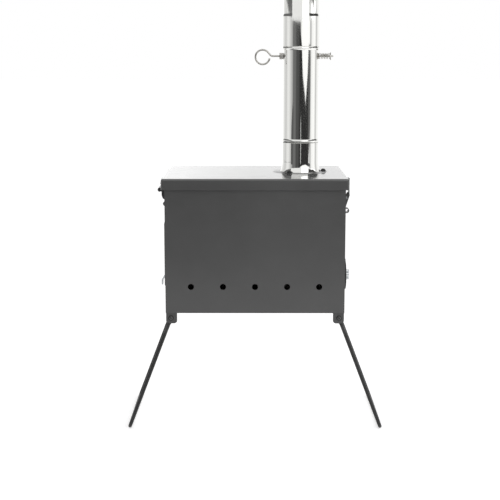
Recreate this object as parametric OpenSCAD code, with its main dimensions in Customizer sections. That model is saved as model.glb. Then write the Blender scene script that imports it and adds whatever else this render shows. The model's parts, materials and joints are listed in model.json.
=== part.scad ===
// Small tent wood stove: a folded sheet-steel firebox on two folding rod leg
// frames, with a hinged lid, a stub collar, a flue pipe with a damper and one
// pipe section above it.
//
// X runs along the firebox from the door end (-X) to the air-vent end (+X),
// Y from the photographed side (-Y) to the far side, Z up.  The origin is on
// the ground under the middle of the firebox.  All sizes are in millimetres.

/* [Firebox] */
// Length of the firebox over its end panels
body_w = 291; // [270:1:330]
// Depth of the firebox over its side panels
body_d = 209; // [200:1:240]
// Height of the side panels
body_h = 218.5; // [205:0.5:240]
// Thickness of the firebox and lid steel
sheet = 1.2; // [0.8:0.1:1.6]
// Width of the folded rim along the top of a side panel
rim_w = 9; // [6:0.5:11]
// Width of the corner flanges of the end panels
corner_flange = 12; // [9:0.5:15]
// Height of the folded edge of the base pan
pan_lip = 10; // [6:0.5:12]
// Number of air holes in each side panel
hole_count = 5; // [1:1:5]
// Diameter of an air hole
hole_d = 10; // [6:0.5:12]
// Distance between neighbouring air holes
hole_pitch = 52; // [40:0.2:56]
// Height of the air holes and the air vent above the firebox floor
hole_up = 43.5; // [40:0.5:45]

/* [Grate] */
// Height of the grate's top face above the firebox floor
grate_up = 30; // [26:0.5:31]
// Thickness of the grate plate
grate_t = 2; // [1.5:0.1:3]
// Width of a grate slot
slot_w = 8; // [5:0.5:10]
// Distance between neighbouring grate slots
slot_pitch = 20; // [14:0.5:26]
// Width and height of the grate's ledge angles
ledge_w = 12; // [8:0.5:13]
// Thickness of a ledge angle
ledge_t = 1.5; // [1:0.1:2]

/* [Lid] */
// How far the lid reaches past the firebox on each side
lid_over = 5.5; // [4.5:0.1:7]
// Height of the lid's folded skirt
lid_skirt = 18; // [15:0.5:22]
// Corner radius of the lid, seen from above
lid_corner = 3; // [2:0.5:5]

/* [Flue] */
// Outside diameter of the flue pipes
flue_d = 60; // [56:0.5:66]
// Thickness of the pipe wall
pipe_wall = 0.6; // [0.5:0.1:0.8]
// Distance of the flue's axis from the middle of the firebox, along X
flue_x = 77; // [66:1:82]
// Distance of the flue's axis from the middle of the firebox, along Y
flue_y = 11; // [-12:1:14]
// Height of the stub collar above the lid
collar_h = 50; // [42:1:60]
// Height of the flared foot of the collar
collar_flare_h = 16; // [10:1:34]
// How far the collar's foot flares out
collar_flare = 3; // [2:0.5:6]
// Diameter of the collar's flange
flange_d = 92; // [90:1:96]
// Diameter of the circle that the collar's three screws stand on
screw_pcd = 78; // [76:0.5:80]
// Turn of the collar's screws about the flue axis
screw_turn = 0; // [-20:1:20]
// Length of a pipe's plain end below its next bead
plug_len = 46; // [38:1:50]
// Height of a pipe bead
bead_h = 6; // [4:0.5:8]
// How far a bead stands out of the pipe
bead_out = 1.3; // [0.9:0.1:1.8]
// Distance between the lower and upper bead of the damper pipe
bead_gap = 154; // [140:1:190]
// Depth of the widened socket at the foot of the upper pipe
socket_len = 50; // [50:1:60]
// Length of the upper pipe from its foot to its bead
upper_len = 212; // [180:1:260]

/* [Damper] */
// Height of the damper shaft below the damper pipe's upper bead
damper_drop = 13; // [12:0.5:26]
// Diameter of the damper's wire shaft
damper_wire = 3; // [2.5:0.1:3.4]
// Mean radius of the shaft's finger ring
ring_r = 12; // [10:0.5:14]
// Distance from the flue axis to the middle of the ring
ring_reach = 64.4; // [62:0.2:70]
// Reach of the shaft's free end past the flue axis
shaft_reach = 54; // [52.5:0.5:60]
// Thickness of the damper plate
damper_t = 1.5; // [1:0.1:2]
// Gap between the damper plate and the pipe wall
damper_gap = 1.4; // [1:0.1:3]
// Outside diameter of the spring
spring_d = 10; // [9:0.2:11]
// Diameter of the spring wire
spring_wire = 1.3; // [1:0.1:1.4]
// Number of curls in the spring
spring_curls = 5; // [4:1:6]

/* [Legs] */
// Distance from a leg's pivot to the middle of its foot bar
leg_len = 203.5; // [170:0.5:208]
// Angle between a standing leg and the upright
leg_splay = 20.8; // [15:0.1:26]
// Diameter of the leg rod
leg_rod = 6; // [5:0.2:7]
// Distance of the leg rods from the middle of the stove, along Y
leg_y = 91; // [84:0.5:92]
// Distance of a leg's pivot from the end of the firebox
pivot_inset = 8.6; // [8:0.1:9.5]
// Distance of a leg's pivot below the firebox floor
pivot_drop = 8.4; // [8.2:0.1:9]
// Width of a leg bracket
bracket_w = 18; // [17:0.5:22]
// Height of a leg bracket's ear below the firebox
bracket_h = 17.5; // [16:0.5:20]
// Thickness of a leg bracket
bracket_t = 2; // [1.5:0.1:2.5]
// Diameter of a leg pivot rivet's shank
leg_pin = 5; // [4:0.1:5.5]

/* [Lid hinge] */
// Length of a lid hinge along Y
hinge_len = 36; // [30:1:44]
// Distance of a lid hinge's middle from the side of the firebox
hinge_inset = 38.5; // [32:0.5:46]
// Distance of the hinge axis from the lid's end
hinge_out = 3.6; // [3.6:0.1:5]
// Distance of the hinge axis below the edge of the lid's skirt
hinge_drop = 2.2; // [1.8:0.1:3]
// Diameter of a lid hinge barrel
hinge_barrel = 6.8; // [5.8:0.1:6.8]
// Diameter of a lid hinge pin
hinge_pin = 3.4; // [2.6:0.1:3.6]

/* [Door] */
// Width of the door opening
door_w = 100; // [80:1:104]
// Height of the end panel above the door opening
door_head = 76.5; // [68:0.5:90]
// Height of the door opening above the firebox floor
door_up = 36; // [34:0.5:38]
// How far the door overlaps the end panel around its opening
door_lap = 7; // [5:0.5:8]
// Thickness of the door plate
door_t = 1.5; // [1.2:0.1:2]
// Diameter of the door hinge's barrel
door_barrel = 4.4; // [4:0.1:5]
// Diameter of the door hinge's pin
door_pin = 2.4; // [2:0.1:2.6]
// Length of the door's own hinge knuckle
knuckle_len = 80; // [50:1:82]
// Distance of the latch pivot from the hinge-free edge of the opening
latch_in = 10; // [9:0.5:14]
// Height of the latch pivot above the door opening's foot
latch_up = 45; // [40:1:60]
// Length of the latch lever below its pivot
latch_len = 63; // [52:1:70]
// Reach of the lever's tip out of the end panel
latch_reach = 18; // [14:0.5:22]
// Width of the latch lever
latch_w = 12; // [8:0.5:14]

/* [Air vent] */
// Diameter of the vent's turning disc
vent_d = 51; // [48:0.5:54]
// How far the vent's drum stands off the end panel
vent_drum = 8; // [6:0.5:10]
// Radius of the circle of vent holes
vent_ring = 13; // [12:0.5:14]
// Diameter of a vent hole
vent_hole = 12; // [8:0.5:12]
// Diameter of the vent's stud
vent_stud_d = 5; // [4:0.1:5.5]
// Span of the wing nut
wing_span = 19; // [14:0.5:20]

/* [Lid catch] */
// Width of the catch
catch_w = 16; // [12:0.5:20]
// Distance of the catch's pivot below the lid's skirt
catch_drop = 25; // [24:0.5:27]
// Distance of the catch's pivot from the end panel
catch_off = 8.7; // [8.4:0.1:9.5]
// Diameter of the catch's pin
catch_pin_d = 2.5; // [2:0.1:3]
// Outside radius of the catch's finger eye
eye_r = 4.4; // [4:0.1:5]
// Inside radius of the catch's finger eye
eye_bore = 3; // [2:0.1:3.2]

/* [Hidden] */

$fn = 48;
fit = 0.05;      // radial clearance of a turning pin in its hole
gap = 0.3;       // clearance between pieces that move past each other
cut = 1;         // how far a cutter runs past the face it cuts

// --- heights ---
pivot_z = leg_len * cos(leg_splay) + leg_rod / 2;
body_z = pivot_z + pivot_drop;
rim_z = body_z + body_h;
lid_z = rim_z + gap + sheet;
skirt_z = lid_z - lid_skirt;
air_z = body_z + hole_up;
grate_z = body_z + grate_up;

// --- plan of the firebox and the lid ---
half_w = body_w / 2;
half_d = body_d / 2;
in_w = half_w - sheet;
in_d = half_d - sheet;
lid_w = half_w + lid_over;
lid_d = half_d + lid_over;

// --- rivets, screws and nuts ---
rivet_r = 1.6;        // shank radius of the small rivets
rivet_head = 3.6;     // head radius of the small rivets
rivet_rise = 3.2;     // head height of the small rivets
flat_rise = 1.4;      // head height of the lid leaf's rivets
leaf_t = 1.5;         // thickness of the hinge leaves
screw_r = 2;          // shank radius of the collar screws
screw_head = 4.4;     // head radius of the collar screws
screw_rise = 3.2;     // head height of the collar screws
nut_r = 4;            // radius across the corners of the collar nuts
nut_h = 3.2;          // height of a collar nut

// --- flue ---
pipe_r = flue_d / 2;
pipe_in = pipe_r - pipe_wall;
socket_in = pipe_r + gap;            // inside of a collar or socket that takes a pipe
socket_r = socket_in + pipe_wall;
flange_t = 1;
collar_z = lid_z + collar_h;
bead1_z = collar_z + bead_h / 2;     // the lower bead rests on the collar
bead2_z = bead1_z + bead_gap;
upper_z = bead2_z + bead_h / 2;      // the upper pipe rests on the upper bead
bead3_z = upper_z + upper_len;
pipe_bottom = bead1_z - plug_len;
pipe_top = bead2_z + plug_len + bead_h / 2;
flue_top = bead3_z + plug_len + bead_h / 2;
damper_z = bead2_z - damper_drop;
wire_r = damper_wire / 2;
damper_r = pipe_in - damper_gap;

// --- damper hardware, as distances from the flue axis ---
washer_t = 1;
washer_r = 5;
nut_w = 5;                                     // thickness of the stop nut
spring_from = pipe_r + gap + washer_t;
cotter_x = shaft_reach - 4.5;
spring_to = cotter_x - 1.1 - washer_t;
spring_r = (spring_d - spring_wire) / 2;
spring_run = spring_to - spring_from - 2 * spring_wire - spring_wire;
spring_steps = 8;                              // rings in one curl

// --- legs ---
pivot_x = half_w - pivot_inset;
ear_out = in_d;                                // outer face of a bracket's ear
ear_in = ear_out - bracket_t;
paddle_t = 3;                                  // thickness of a rod's flattened end
paddle_y = ear_in - gap - paddle_t / 2;
paddle_r = 5.5;
leg_pin_r = leg_pin / 2;
rod_r = leg_rod / 2;
foot_bend = 10;                                // mean radius of the foot corners
crank_from = 14;                               // where the rod starts to step inwards
crank_to = 30;                                 // where it has reached its own line

// --- lid hinge ---
hinge_x = -(lid_w + hinge_out);
hinge_y = half_d - hinge_inset;
hinge_z = skirt_z - hinge_drop;
barrel_r = hinge_barrel / 2;
hinge_pin_r = hinge_pin / 2;
lid_knuckle = hinge_len / 3;
leaf_foot = barrel_r + 0.4;                    // lower edge of the lid's leaf above the axis
leaf_h = 13;
body_leaf_h = 14;
body_leaf_top = skirt_z - 19;
hinge_rivet_y = hinge_len / 3;

// --- door ---
door_z = body_z + door_up;
door_h = body_h - door_up - door_head;
door_back = -(half_w + gap);                   // the door's inner face
door_face = door_back - door_t;
door_axis_y = -(door_w / 2 + door_lap + 2.5);
door_barrel_r = door_barrel / 2;
door_axis_x = door_back - door_barrel_r;
door_pin_r = door_pin / 2;
knuckle_z = door_z + (door_h - knuckle_len) / 2;
door_bracket_h = 12;
door_bracket_w = 14;
latch_y = door_w / 2 - latch_in;
latch_z = door_z + latch_up;
latch_shaft_r = 3;
latch_t = 2.5;
tongue_t = 2;
tongue_len = 24;
tongue_w = 10;
tongue_x = -(in_w - 0.4);                      // the tongue's outer face, behind the end panel

// --- air vent ---
drum_r = vent_d / 2 - 2;
vent_throat = drum_r - 3.5;                    // opening in the end panel
drum_face = half_w + vent_drum;
disc_t = 1.2;
disc_x = drum_face + gap;
stud_r = vent_stud_d / 2;
wing_x = disc_x + disc_t + gap;
wing_h = 6;                                    // height of the wing nut
wing_hub = 5;

// --- lid catch ---
catch_x = half_w + catch_off;
catch_z = skirt_z - catch_drop;
cheek_t = 1.5;
ear_t = 1.2;
catch_half = catch_w / 2;
catch_pin_r = catch_pin_d / 2;
keeper_reach = 4;
keeper_up = 5;                                 // keeper's height above the skirt's edge
strip_t = 1.5;

// ---------------------------------------------------------------- helpers

// A plate with rounded corners, standing on the XY plane.
module plate(x, y, t, r) {
    linear_extrude(height = t) {
        square([x - 2 * r, y], center = true);
        square([x, y - 2 * r], center = true);
        for (sx = [-1, 1], sy = [-1, 1])
            translate([sx * (x / 2 - r), sy * (y / 2 - r)]) circle(r = r);
    }
}

// A box given by its lowest and highest corners.
module block(low, high) {
    translate(low) cube(high - low);
}

// A cylinder from one point along X, Y or Z.
module along_x(p, r, l) { translate(p) rotate([0, 90, 0]) cylinder(r = r, h = l); }
module along_y(p, r, l) { translate(p) rotate([-90, 0, 0]) cylinder(r = r, h = l); }
module along_z(p, r, l) { translate(p) cylinder(r = r, h = l); }

// A round rod between two points, with a slightly fuller ball on each end.
module rod(a, b, r) {
    d = b - a;
    l = norm(d);
    for (p = [a, b]) translate(p) sphere(r = r * 1.02);
    translate(a) rotate([0, acos(d[2] / l), atan2(d[1], d[0])]) cylinder(r = r, h = l);
}

// A dome-headed rivet or screw standing on the XY plane, its shank below.
module domed(head_r, rise, shank_r, shank) {
    ball = (head_r * head_r + rise * rise) / (2 * rise);
    intersection() {
        translate([0, 0, rise - ball]) sphere(r = ball);
        cylinder(r = head_r, h = rise);
    }
    translate([0, 0, -shank]) cylinder(r = shank_r, h = shank);
}

// A washer or ring lying on the XY plane.
module ring(outer, inner, t) {
    difference() {
        cylinder(r = outer, h = t);
        translate([0, 0, -cut]) cylinder(r = inner, h = t + 2 * cut);
    }
}

// A hexagonal nut on the XY plane.
module hex_nut(r, h, bore) {
    difference() {
        cylinder(r = r, h = h, $fn = 6);
        translate([0, 0, -cut]) cylinder(r = bore, h = h + 2 * cut);
    }
}

// ---------------------------------------------------------------- firebox

// A side panel with its rim folded inwards; side is -1 in front, 1 behind.
module side_panel(side) {
    difference() {
        union() {
            block([-half_w, min(side * in_d, side * half_d), body_z],
                  [half_w, max(side * in_d, side * half_d), rim_z]);
            block([-half_w, min(side * in_d, side * (in_d - rim_w)), rim_z - sheet],
                  [half_w, max(side * in_d, side * (in_d - rim_w)), rim_z]);
        }
        for (i = [0 : hole_count - 1])
            along_y([(i - (hole_count - 1) / 2) * hole_pitch, side * half_d - 2 * sheet, air_z],
                    hole_d / 2, 4 * sheet);
    }
}

module side_panel_front() { color("#4a4a4a") side_panel(-1); }
module side_panel_back() { color("#4a4a4a") side_panel(1); }

// An end panel with its corner flanges and rim; end is -1 or 1.
module end_panel(end) {
    reach = in_w - corner_flange;
    block([min(end * in_w, end * half_w), -in_d, body_z],
          [max(end * in_w, end * half_w), in_d, rim_z - sheet - gap]);
    for (side = [-1, 1])
        block([min(end * in_w, end * reach), min(side * in_d, side * (in_d - sheet)), body_z + sheet],
              [max(end * in_w, end * reach), max(side * in_d, side * (in_d - sheet)), rim_z - sheet]);
    span = in_d - rim_w - gap;
    block([min(end * half_w, end * (in_w - rim_w)), -span, rim_z - sheet],
          [max(end * half_w, end * (in_w - rim_w)), span, rim_z]);
    block([min(end * in_w, end * half_w), -span, rim_z - 2 * sheet],
          [max(end * in_w, end * half_w), span, rim_z]);
}

module end_panel_door() {
    color("#434343") difference() {
        end_panel(-1);
        translate([-half_w - cut, 0, door_z + door_h / 2]) rotate([0, 90, 0])
            plate(door_h, door_w, sheet + 2 * cut, 8);
        for (side = [-1, 1], dy = [-1, 1])
            along_x([-half_w - cut, side * hinge_y + dy * hinge_rivet_y, body_leaf_top - body_leaf_h / 2],
                    rivet_r, sheet + 2 * cut);
        for (up = [0, 1])
            along_x([-half_w - cut, door_rivet_y(), door_rivet_z(up)], rivet_r, sheet + 2 * cut);
    }
}

module end_panel_vent() {
    color("#434343") difference() {
        end_panel(1);
        along_x([in_w - cut, 0, air_z], vent_throat, sheet + 2 * cut);
        for (dy = [-1, 1])
            along_x([in_w - cut, dy * catch_rivet_y(), catch_z], rivet_r, sheet + 2 * cut);
    }
}

module base_pan() {
    lip_w = in_w - corner_flange - gap;
    lip_d = in_d - sheet - gap;
    color("#3c3c3c") {
        block([-in_w, -in_d, body_z], [in_w, in_d, body_z + sheet]);
        for (side = [-1, 1]) {
            block([-lip_w, min(side * in_d, side * (in_d - sheet)), body_z],
                  [lip_w, max(side * in_d, side * (in_d - sheet)), body_z + pan_lip]);
            block([min(side * in_w, side * (in_w - sheet)), -lip_d, body_z],
                  [max(side * in_w, side * (in_w - sheet)), lip_d, body_z + pan_lip]);
        }
    }
}

module grate() {
    reach_x = in_w - corner_flange - gap;
    reach_y = in_d - gap;
    slots = 2 * floor((reach_x - slot_w) / slot_pitch) + 1;
    slot_l = reach_y - ledge_w - slot_w;
    color("#5a5a5a") difference() {
        block([-reach_x, -reach_y, grate_z - grate_t], [reach_x, reach_y, grate_z]);
        for (i = [0 : slots - 1], side = [-1, 1])
            translate([(i - (slots - 1) / 2) * slot_pitch, side * (slot_l / 2 + slot_w / 2),
                       grate_z - grate_t - cut])
                plate(slot_w, slot_l, grate_t + 2 * cut, slot_w / 2 - 0.01);
    }
}

// The angle that carries one edge of the grate.
module grate_ledge(side) {
    reach = in_w - corner_flange - gap;
    top = grate_z - grate_t;
    color("#3c3c3c") {
        block([-reach, min(side * in_d, side * (in_d - ledge_w)), top - ledge_t],
              [reach, max(side * in_d, side * (in_d - ledge_w)), top]);
        block([-reach, min(side * in_d, side * (in_d - ledge_t)), top - ledge_w],
              [reach, max(side * in_d, side * (in_d - ledge_t)), top]);
    }
}

module grate_ledge_front() { grate_ledge(-1); }
module grate_ledge_back() { grate_ledge(1); }

// ---------------------------------------------------------------- legs

// A bracket with a foot welded under the firebox and an ear for the leg.
module leg_bracket(end, side) {
    outer = half_w - 0.5;
    foot_d = 18;
    color("#474747") difference() {
        union() {
            block([min(end * outer, end * (outer - bracket_w)),
                   min(side * ear_out, side * (ear_out - foot_d)), body_z - leaf_t],
                  [max(end * outer, end * (outer - bracket_w)),
                   max(side * ear_out, side * (ear_out - foot_d)), body_z]);
            translate([end * (outer - bracket_w / 2), side * (ear_out + ear_in) / 2, body_z])
                rotate([90, 0, 0]) linear_extrude(height = bracket_t, center = true) {
                    r = 5;
                    translate([-bracket_w / 2, -bracket_h + r]) square([bracket_w, bracket_h - r]);
                    translate([-bracket_w / 2 + r, -bracket_h]) square([bracket_w - 2 * r, r]);
                    for (s = [-1, 1])
                        translate([s * (bracket_w / 2 - r), -bracket_h + r]) circle(r = r);
                }
        }
        along_y([end * pivot_x, side > 0 ? ear_in - cut : -ear_out - cut, pivot_z],
                leg_pin_r, bracket_t + 2 * cut);
    }
}

module leg_bracket_front_left() { leg_bracket(-1, -1); }
module leg_bracket_front_right() { leg_bracket(1, -1); }
module leg_bracket_back_left() { leg_bracket(-1, 1); }
module leg_bracket_back_right() { leg_bracket(1, 1); }

// The four pivot rivets, with a flat ring head outside and a washer inside.
module leg_rivets() {
    stack = bracket_t + gap + paddle_t + gap;
    color("#3a3a3a") for (end = [-1, 1], side = [-1, 1])
        translate([end * pivot_x, side * ear_out, pivot_z]) rotate([-side * 90, 0, 0]) {
            cylinder(r = 4.4, h = 0.8);
            translate([0, 0, 0.8]) difference() {
                domed(3.2, 1.6, leg_pin_r, stack + 0.8);
                translate([0, 0, 0.7]) cylinder(r = 0.8, h = 2);
            }
            translate([0, 0, -stack - 1.2]) cylinder(r = 4, h = 1.2);
        }
}

// One bent rod: flattened ends, two side rods and a foot bar.  It is drawn
// hanging from its pivot and then swung out to its standing angle.
module leg_frame(end) {
    foot_y = leg_y - foot_bend;
    color("#404040") translate([end * pivot_x, 0, pivot_z]) rotate([0, -end * leg_splay, 0]) {
        for (side = [-1, 1]) {
            difference() {
                translate([0, side * paddle_y, 0]) rotate([90, 0, 0])
                    linear_extrude(height = paddle_t, center = true) {
                        circle(r = paddle_r);
                        translate([-rod_r - 0.5, -crank_from]) square([2 * rod_r + 1, crank_from]);
                    }
                along_y([0, side * paddle_y - paddle_t, 0], leg_pin_r + fit, 2 * paddle_t);
            }
            rod([0, side * paddle_y, -crank_from], [0, side * leg_y, -crank_to], rod_r);
            rod([0, side * leg_y, -crank_to], [0, side * leg_y, -(leg_len - foot_bend)], rod_r);
            translate([0, side * foot_y, -(leg_len - foot_bend)]) rotate([90, 0, 90])
                rotate([0, 0, side > 0 ? -90 : 180])
                    rotate_extrude(angle = 90) translate([foot_bend, 0]) circle(r = rod_r);
        }
        along_y([0, -foot_y, -leg_len], rod_r, 2 * foot_y);
    }
}

module leg_frame_left() { leg_frame(-1); }
module leg_frame_right() { leg_frame(1); }

// ---------------------------------------------------------------- lid

module lid() {
    color("#4d4d4d") difference() {
        translate([0, 0, skirt_z]) plate(2 * lid_w, 2 * lid_d, lid_skirt, lid_corner);
        translate([0, 0, skirt_z - cut])
            plate(2 * (lid_w - sheet), 2 * (lid_d - sheet), lid_skirt - sheet + cut, lid_corner - sheet);
        along_z([flue_x, flue_y, lid_z - 2 * sheet], pipe_r, 3 * sheet);
        at_screws() along_z([0, 0, lid_z - 2 * sheet], screw_r + fit, 3 * sheet);
        for (side = [-1, 1], dy = [-1, 1])
            along_x([-lid_w - cut, side * hinge_y + dy * hinge_rivet_y, lid_rivet_z()],
                    rivet_r, sheet + 2 * cut);
    }
}

// The places of the three screws round the flue.
module at_screws() {
    for (turn = [0, 120, 240])
        translate([flue_x, flue_y, 0]) rotate([0, 0, screw_turn + turn])
            translate([screw_pcd / 2, 0, 0]) children();
}

function lid_rivet_z() = hinge_z + leaf_foot + leaf_h / 2 - 0.5;

// The leaf on the lid's skirt, with one knuckle in the middle of the hinge.
module lid_hinge_leaf(side) {
    color("#3d3d3d") translate([0, side * hinge_y, 0]) difference() {
        union() {
            block([-lid_w - leaf_t, -hinge_len / 2, hinge_z + leaf_foot],
                  [-lid_w, hinge_len / 2, hinge_z + leaf_foot + leaf_h]);
            along_y([hinge_x, -lid_knuckle / 2, hinge_z], barrel_r, lid_knuckle);
            block([hinge_x + hinge_pin_r + 0.5, -lid_knuckle / 2, hinge_z + 1],
                  [-lid_w, lid_knuckle / 2, hinge_z + leaf_foot]);
        }
        along_y([hinge_x, -hinge_len, hinge_z], hinge_pin_r + fit, 2 * hinge_len);
        for (dy = [-1, 1])
            along_x([-lid_w - leaf_t - cut, dy * hinge_rivet_y, lid_rivet_z()], rivet_r, leaf_t + 2 * cut);
    }
}

module lid_hinge_leaf_front() { lid_hinge_leaf(-1); }
module lid_hinge_leaf_back() { lid_hinge_leaf(1); }

// The cranked leaf on the firebox, with the two outer knuckles.
module body_hinge_leaf(side) {
    wall = -half_w;
    color("#3d3d3d") translate([0, side * hinge_y, 0]) difference() {
        union() {
            for (end = [-1, 1])
                translate([0, end * (hinge_len / 2 + lid_knuckle / 2 + gap) / 2, 0]) {
                    span = (hinge_len - lid_knuckle) / 2 - gap;
                    along_y([hinge_x, -span / 2, hinge_z], barrel_r, span);
                    translate([0, span / 2, 0]) rotate([90, 0, 0]) linear_extrude(height = span)
                        polygon([[hinge_x + barrel_r - 0.2, hinge_z], [hinge_x + 2.2, hinge_z - 2.2],
                                 [hinge_x + 3, hinge_z - 4], [hinge_x + 3, hinge_z - 9],
                                 [wall - leaf_t - 2.7, body_leaf_top + 2.4],
                                 [wall - leaf_t, body_leaf_top + 1], [wall - leaf_t, body_leaf_top],
                                 [wall, body_leaf_top], [wall, hinge_z - 3]]);
                }
            block([wall - leaf_t, -hinge_len / 2, body_leaf_top - body_leaf_h],
                  [wall, hinge_len / 2, body_leaf_top]);
        }
        along_y([hinge_x, -hinge_len, hinge_z], hinge_pin_r + fit, 2 * hinge_len);
        for (dy = [-1, 1])
            along_x([wall - leaf_t - cut, dy * hinge_rivet_y, body_leaf_top - body_leaf_h / 2],
                    rivet_r, leaf_t + 2 * cut);
    }
}

module body_hinge_leaf_front() { body_hinge_leaf(-1); }
module body_hinge_leaf_back() { body_hinge_leaf(1); }

module lid_hinge_pins() {
    color("#303030") for (side = [-1, 1])
        along_y([hinge_x, side * hinge_y - hinge_len / 2, hinge_z], hinge_pin_r, hinge_len);
}

// A rivet through the door end at x, its head facing -X.
module end_rivet(x, y, z, rise) {
    translate([x, y, z]) rotate([0, -90, 0]) domed(rivet_head, rise, rivet_r, leaf_t + sheet);
}

module lid_hinge_rivets() {
    color("#333333") for (side = [-1, 1], dy = [-1, 1])
        end_rivet(-lid_w - leaf_t, side * hinge_y + dy * hinge_rivet_y, lid_rivet_z(), flat_rise);
}

module body_hinge_rivets() {
    color("#333333") for (side = [-1, 1], dy = [-1, 1])
        end_rivet(-half_w - leaf_t, side * hinge_y + dy * hinge_rivet_y,
                  body_leaf_top - body_leaf_h / 2, rivet_rise);
}

// ---------------------------------------------------------------- flue

// Half outline of a bead: a round swelling of height h that stands out by o.
function bead(r, z, h, o) = [for (i = [0 : 8]) [r + o * sin(i * 22.5), z - h / 2 + h * i / 8]];

module flue_collar() {
    // an S-curve from the tube down to the flange
    foot = [for (i = [0 : 8]) [socket_r + collar_flare * (1 + cos(i * 22.5)) / 2,
                               lid_z + flange_t + collar_flare_h * i / 8]];
    inside = [for (i = [8 : -1 : 0]) [foot[i][0] - pipe_wall, foot[i][1]]];
    color("#c9cacb") translate([flue_x, flue_y, 0]) difference() {
        rotate_extrude($fn = 96) polygon(concat(
            [[pipe_r, lid_z], [flange_d / 2, lid_z], [flange_d / 2, lid_z + flange_t]],
            foot, [[socket_r, collar_z], [socket_in, collar_z]], inside, [[pipe_r, lid_z + flange_t]]));
        for (turn = [0, 120, 240]) rotate([0, 0, screw_turn + turn])
            along_z([screw_pcd / 2, 0, lid_z - cut], screw_r + fit, flange_t + 2 * cut);
    }
}

module collar_screws() {
    color("#1c1c1c") at_screws() translate([0, 0, lid_z + flange_t])
        domed(screw_head, screw_rise, screw_r, flange_t + sheet + nut_h + 1.5);
}

module collar_nuts() {
    color("#b5b7b8") at_screws() translate([0, 0, lid_z - sheet - nut_h])
        hex_nut(nut_r, nut_h, screw_r + fit);
}

module damper_pipe() {
    b1 = bead(pipe_r, bead1_z, bead_h, bead_out);
    b2 = bead(pipe_r, bead2_z, bead_h, bead_out);
    i1 = bead(pipe_in, bead1_z, bead_h, bead_out);
    i2 = bead(pipe_in, bead2_z, bead_h, bead_out);
    color("#cdced0") translate([flue_x, flue_y, 0]) difference() {
        rotate_extrude($fn = 96) polygon(concat(
            [[pipe_in, pipe_bottom], [pipe_r, pipe_bottom]], b1, b2, [[pipe_r, pipe_top], [pipe_in, pipe_top]],
            [for (i = [8 : -1 : 0]) i2[i]], [for (i = [8 : -1 : 0]) i1[i]]));
        along_x([-pipe_r - cut, 0, damper_z], wire_r + fit, flue_d + 2 * cut);
    }
}

module upper_pipe() {
    neck = upper_z + socket_len;
    b = bead(pipe_r, bead3_z, bead_h, bead_out);
    i = bead(pipe_in, bead3_z, bead_h, bead_out);
    color("#cdced0") translate([flue_x, flue_y, 0]) rotate_extrude($fn = 96) polygon(concat(
        [[socket_in, upper_z], [socket_r, upper_z], [socket_r, neck], [pipe_r, neck + 3]],
        b, [[pipe_r, flue_top], [pipe_in, flue_top]], [for (k = [8 : -1 : 0]) i[k]],
        [[pipe_in, neck + 3], [socket_in, neck]]));
}

// ---------------------------------------------------------------- damper

// Puts a child at the crossing of the flue axis and the damper shaft.
module at_damper() { translate([flue_x, flue_y, damper_z]) children(); }

// A short cuff that joins two stretches of the shaft's wire end to end.
module wire_cuff(x, y, angle) {
    translate([x, y, 0]) rotate([0, 90, angle]) cylinder(r = wire_r * 1.04, h = 0.8, center = true);
}

// The shaft is one wire: a finger ring, a bend down to the axis and a straight.
module damper_shaft() {
    leave = 40;                                 // angle where the wire leaves the ring
    turn = 90 - leave;                          // how far it bends back to the axis
    bend_r = 2 * damper_wire;
    ring_down = wire_r + 0.2;                   // the ring's middle hangs below the axis
    start = [-ring_reach + ring_r * cos(leave), ring_r * sin(leave) - ring_down];
    drop = start[1] - bend_r * (1 - cos(turn));
    knee = [start[0] + drop * cos(turn) / sin(turn), bend_r * (1 - cos(turn))];
    foot = knee[0] + bend_r * sin(turn);
    color("#a9abad") at_damper() rotate([90, 0, 0]) {
        translate([-ring_reach, -ring_down]) rotate([0, 0, leave])
            rotate_extrude(angle = 310) translate([ring_r, 0]) circle(r = wire_r);
        wire_cuff(start[0], start[1], -turn);
        translate([start[0], start[1], 0]) rotate([0, 90, -turn])
            cylinder(r = wire_r, h = norm(knee - start));
        wire_cuff(knee[0], knee[1], -turn);
        translate([foot, bend_r]) rotate([0, 0, 270 - turn])
            rotate_extrude(angle = turn) translate([bend_r, 0]) circle(r = wire_r);
        wire_cuff(foot, 0, 0);
        difference() {
            along_x([foot, 0, 0], wire_r, shaft_reach - foot);
            rotate([90, 0, 0]) translate([cotter_x, 0, -wire_r - cut])
                cylinder(r = 0.7, h = damper_wire + 2 * cut);
        }
    }
}

// The plate carries a sleeve for the shaft and stands upright when open.
module damper_plate() {
    sleeve = wire_r + 1.2;
    color("#8e9092") at_damper() difference() {
        union() {
            along_y([0, -damper_t / 2, 0], damper_r, damper_t);
            intersection() {
                along_x([-damper_r, 0, 0], sleeve, 2 * damper_r);
                along_y([0, -2 * sleeve, 0], damper_r, 4 * sleeve);
            }
        }
        along_x([-pipe_r, 0, 0], wire_r + fit, flue_d);
    }
}

module damper_stop_nut() {
    color("#b8b29a") at_damper() translate([-pipe_r - gap - washer_t - nut_w, 0, 0])
        rotate([0, 90, 0]) hex_nut(washer_r + 0.4, nut_w, wire_r + fit);
}

// One washer beside the stop nut and one at each end of the spring.
module damper_washers() {
    color("#9d9fa1") at_damper()
        for (x = [-pipe_r - gap - washer_t, pipe_r + gap, spring_to])
            translate([x, 0, 0]) rotate([0, 90, 0]) ring(washer_r, wire_r + fit, washer_t);
}

// The spring's centre line: a straight start, the curls and a straight end.
function spring_path() = let (n = spring_curls * spring_steps, x0 = spring_from + spring_wire * 1.5)
    concat([[spring_from, spring_r, 0]],
           [for (i = [0 : n]) [x0 + spring_run * i / n, spring_r * cos(360 * i / spring_steps),
                               spring_r * sin(360 * i / spring_steps)]],
           [[spring_to, spring_r, 0]]);

function unit(v) = v / norm(v);

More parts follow.
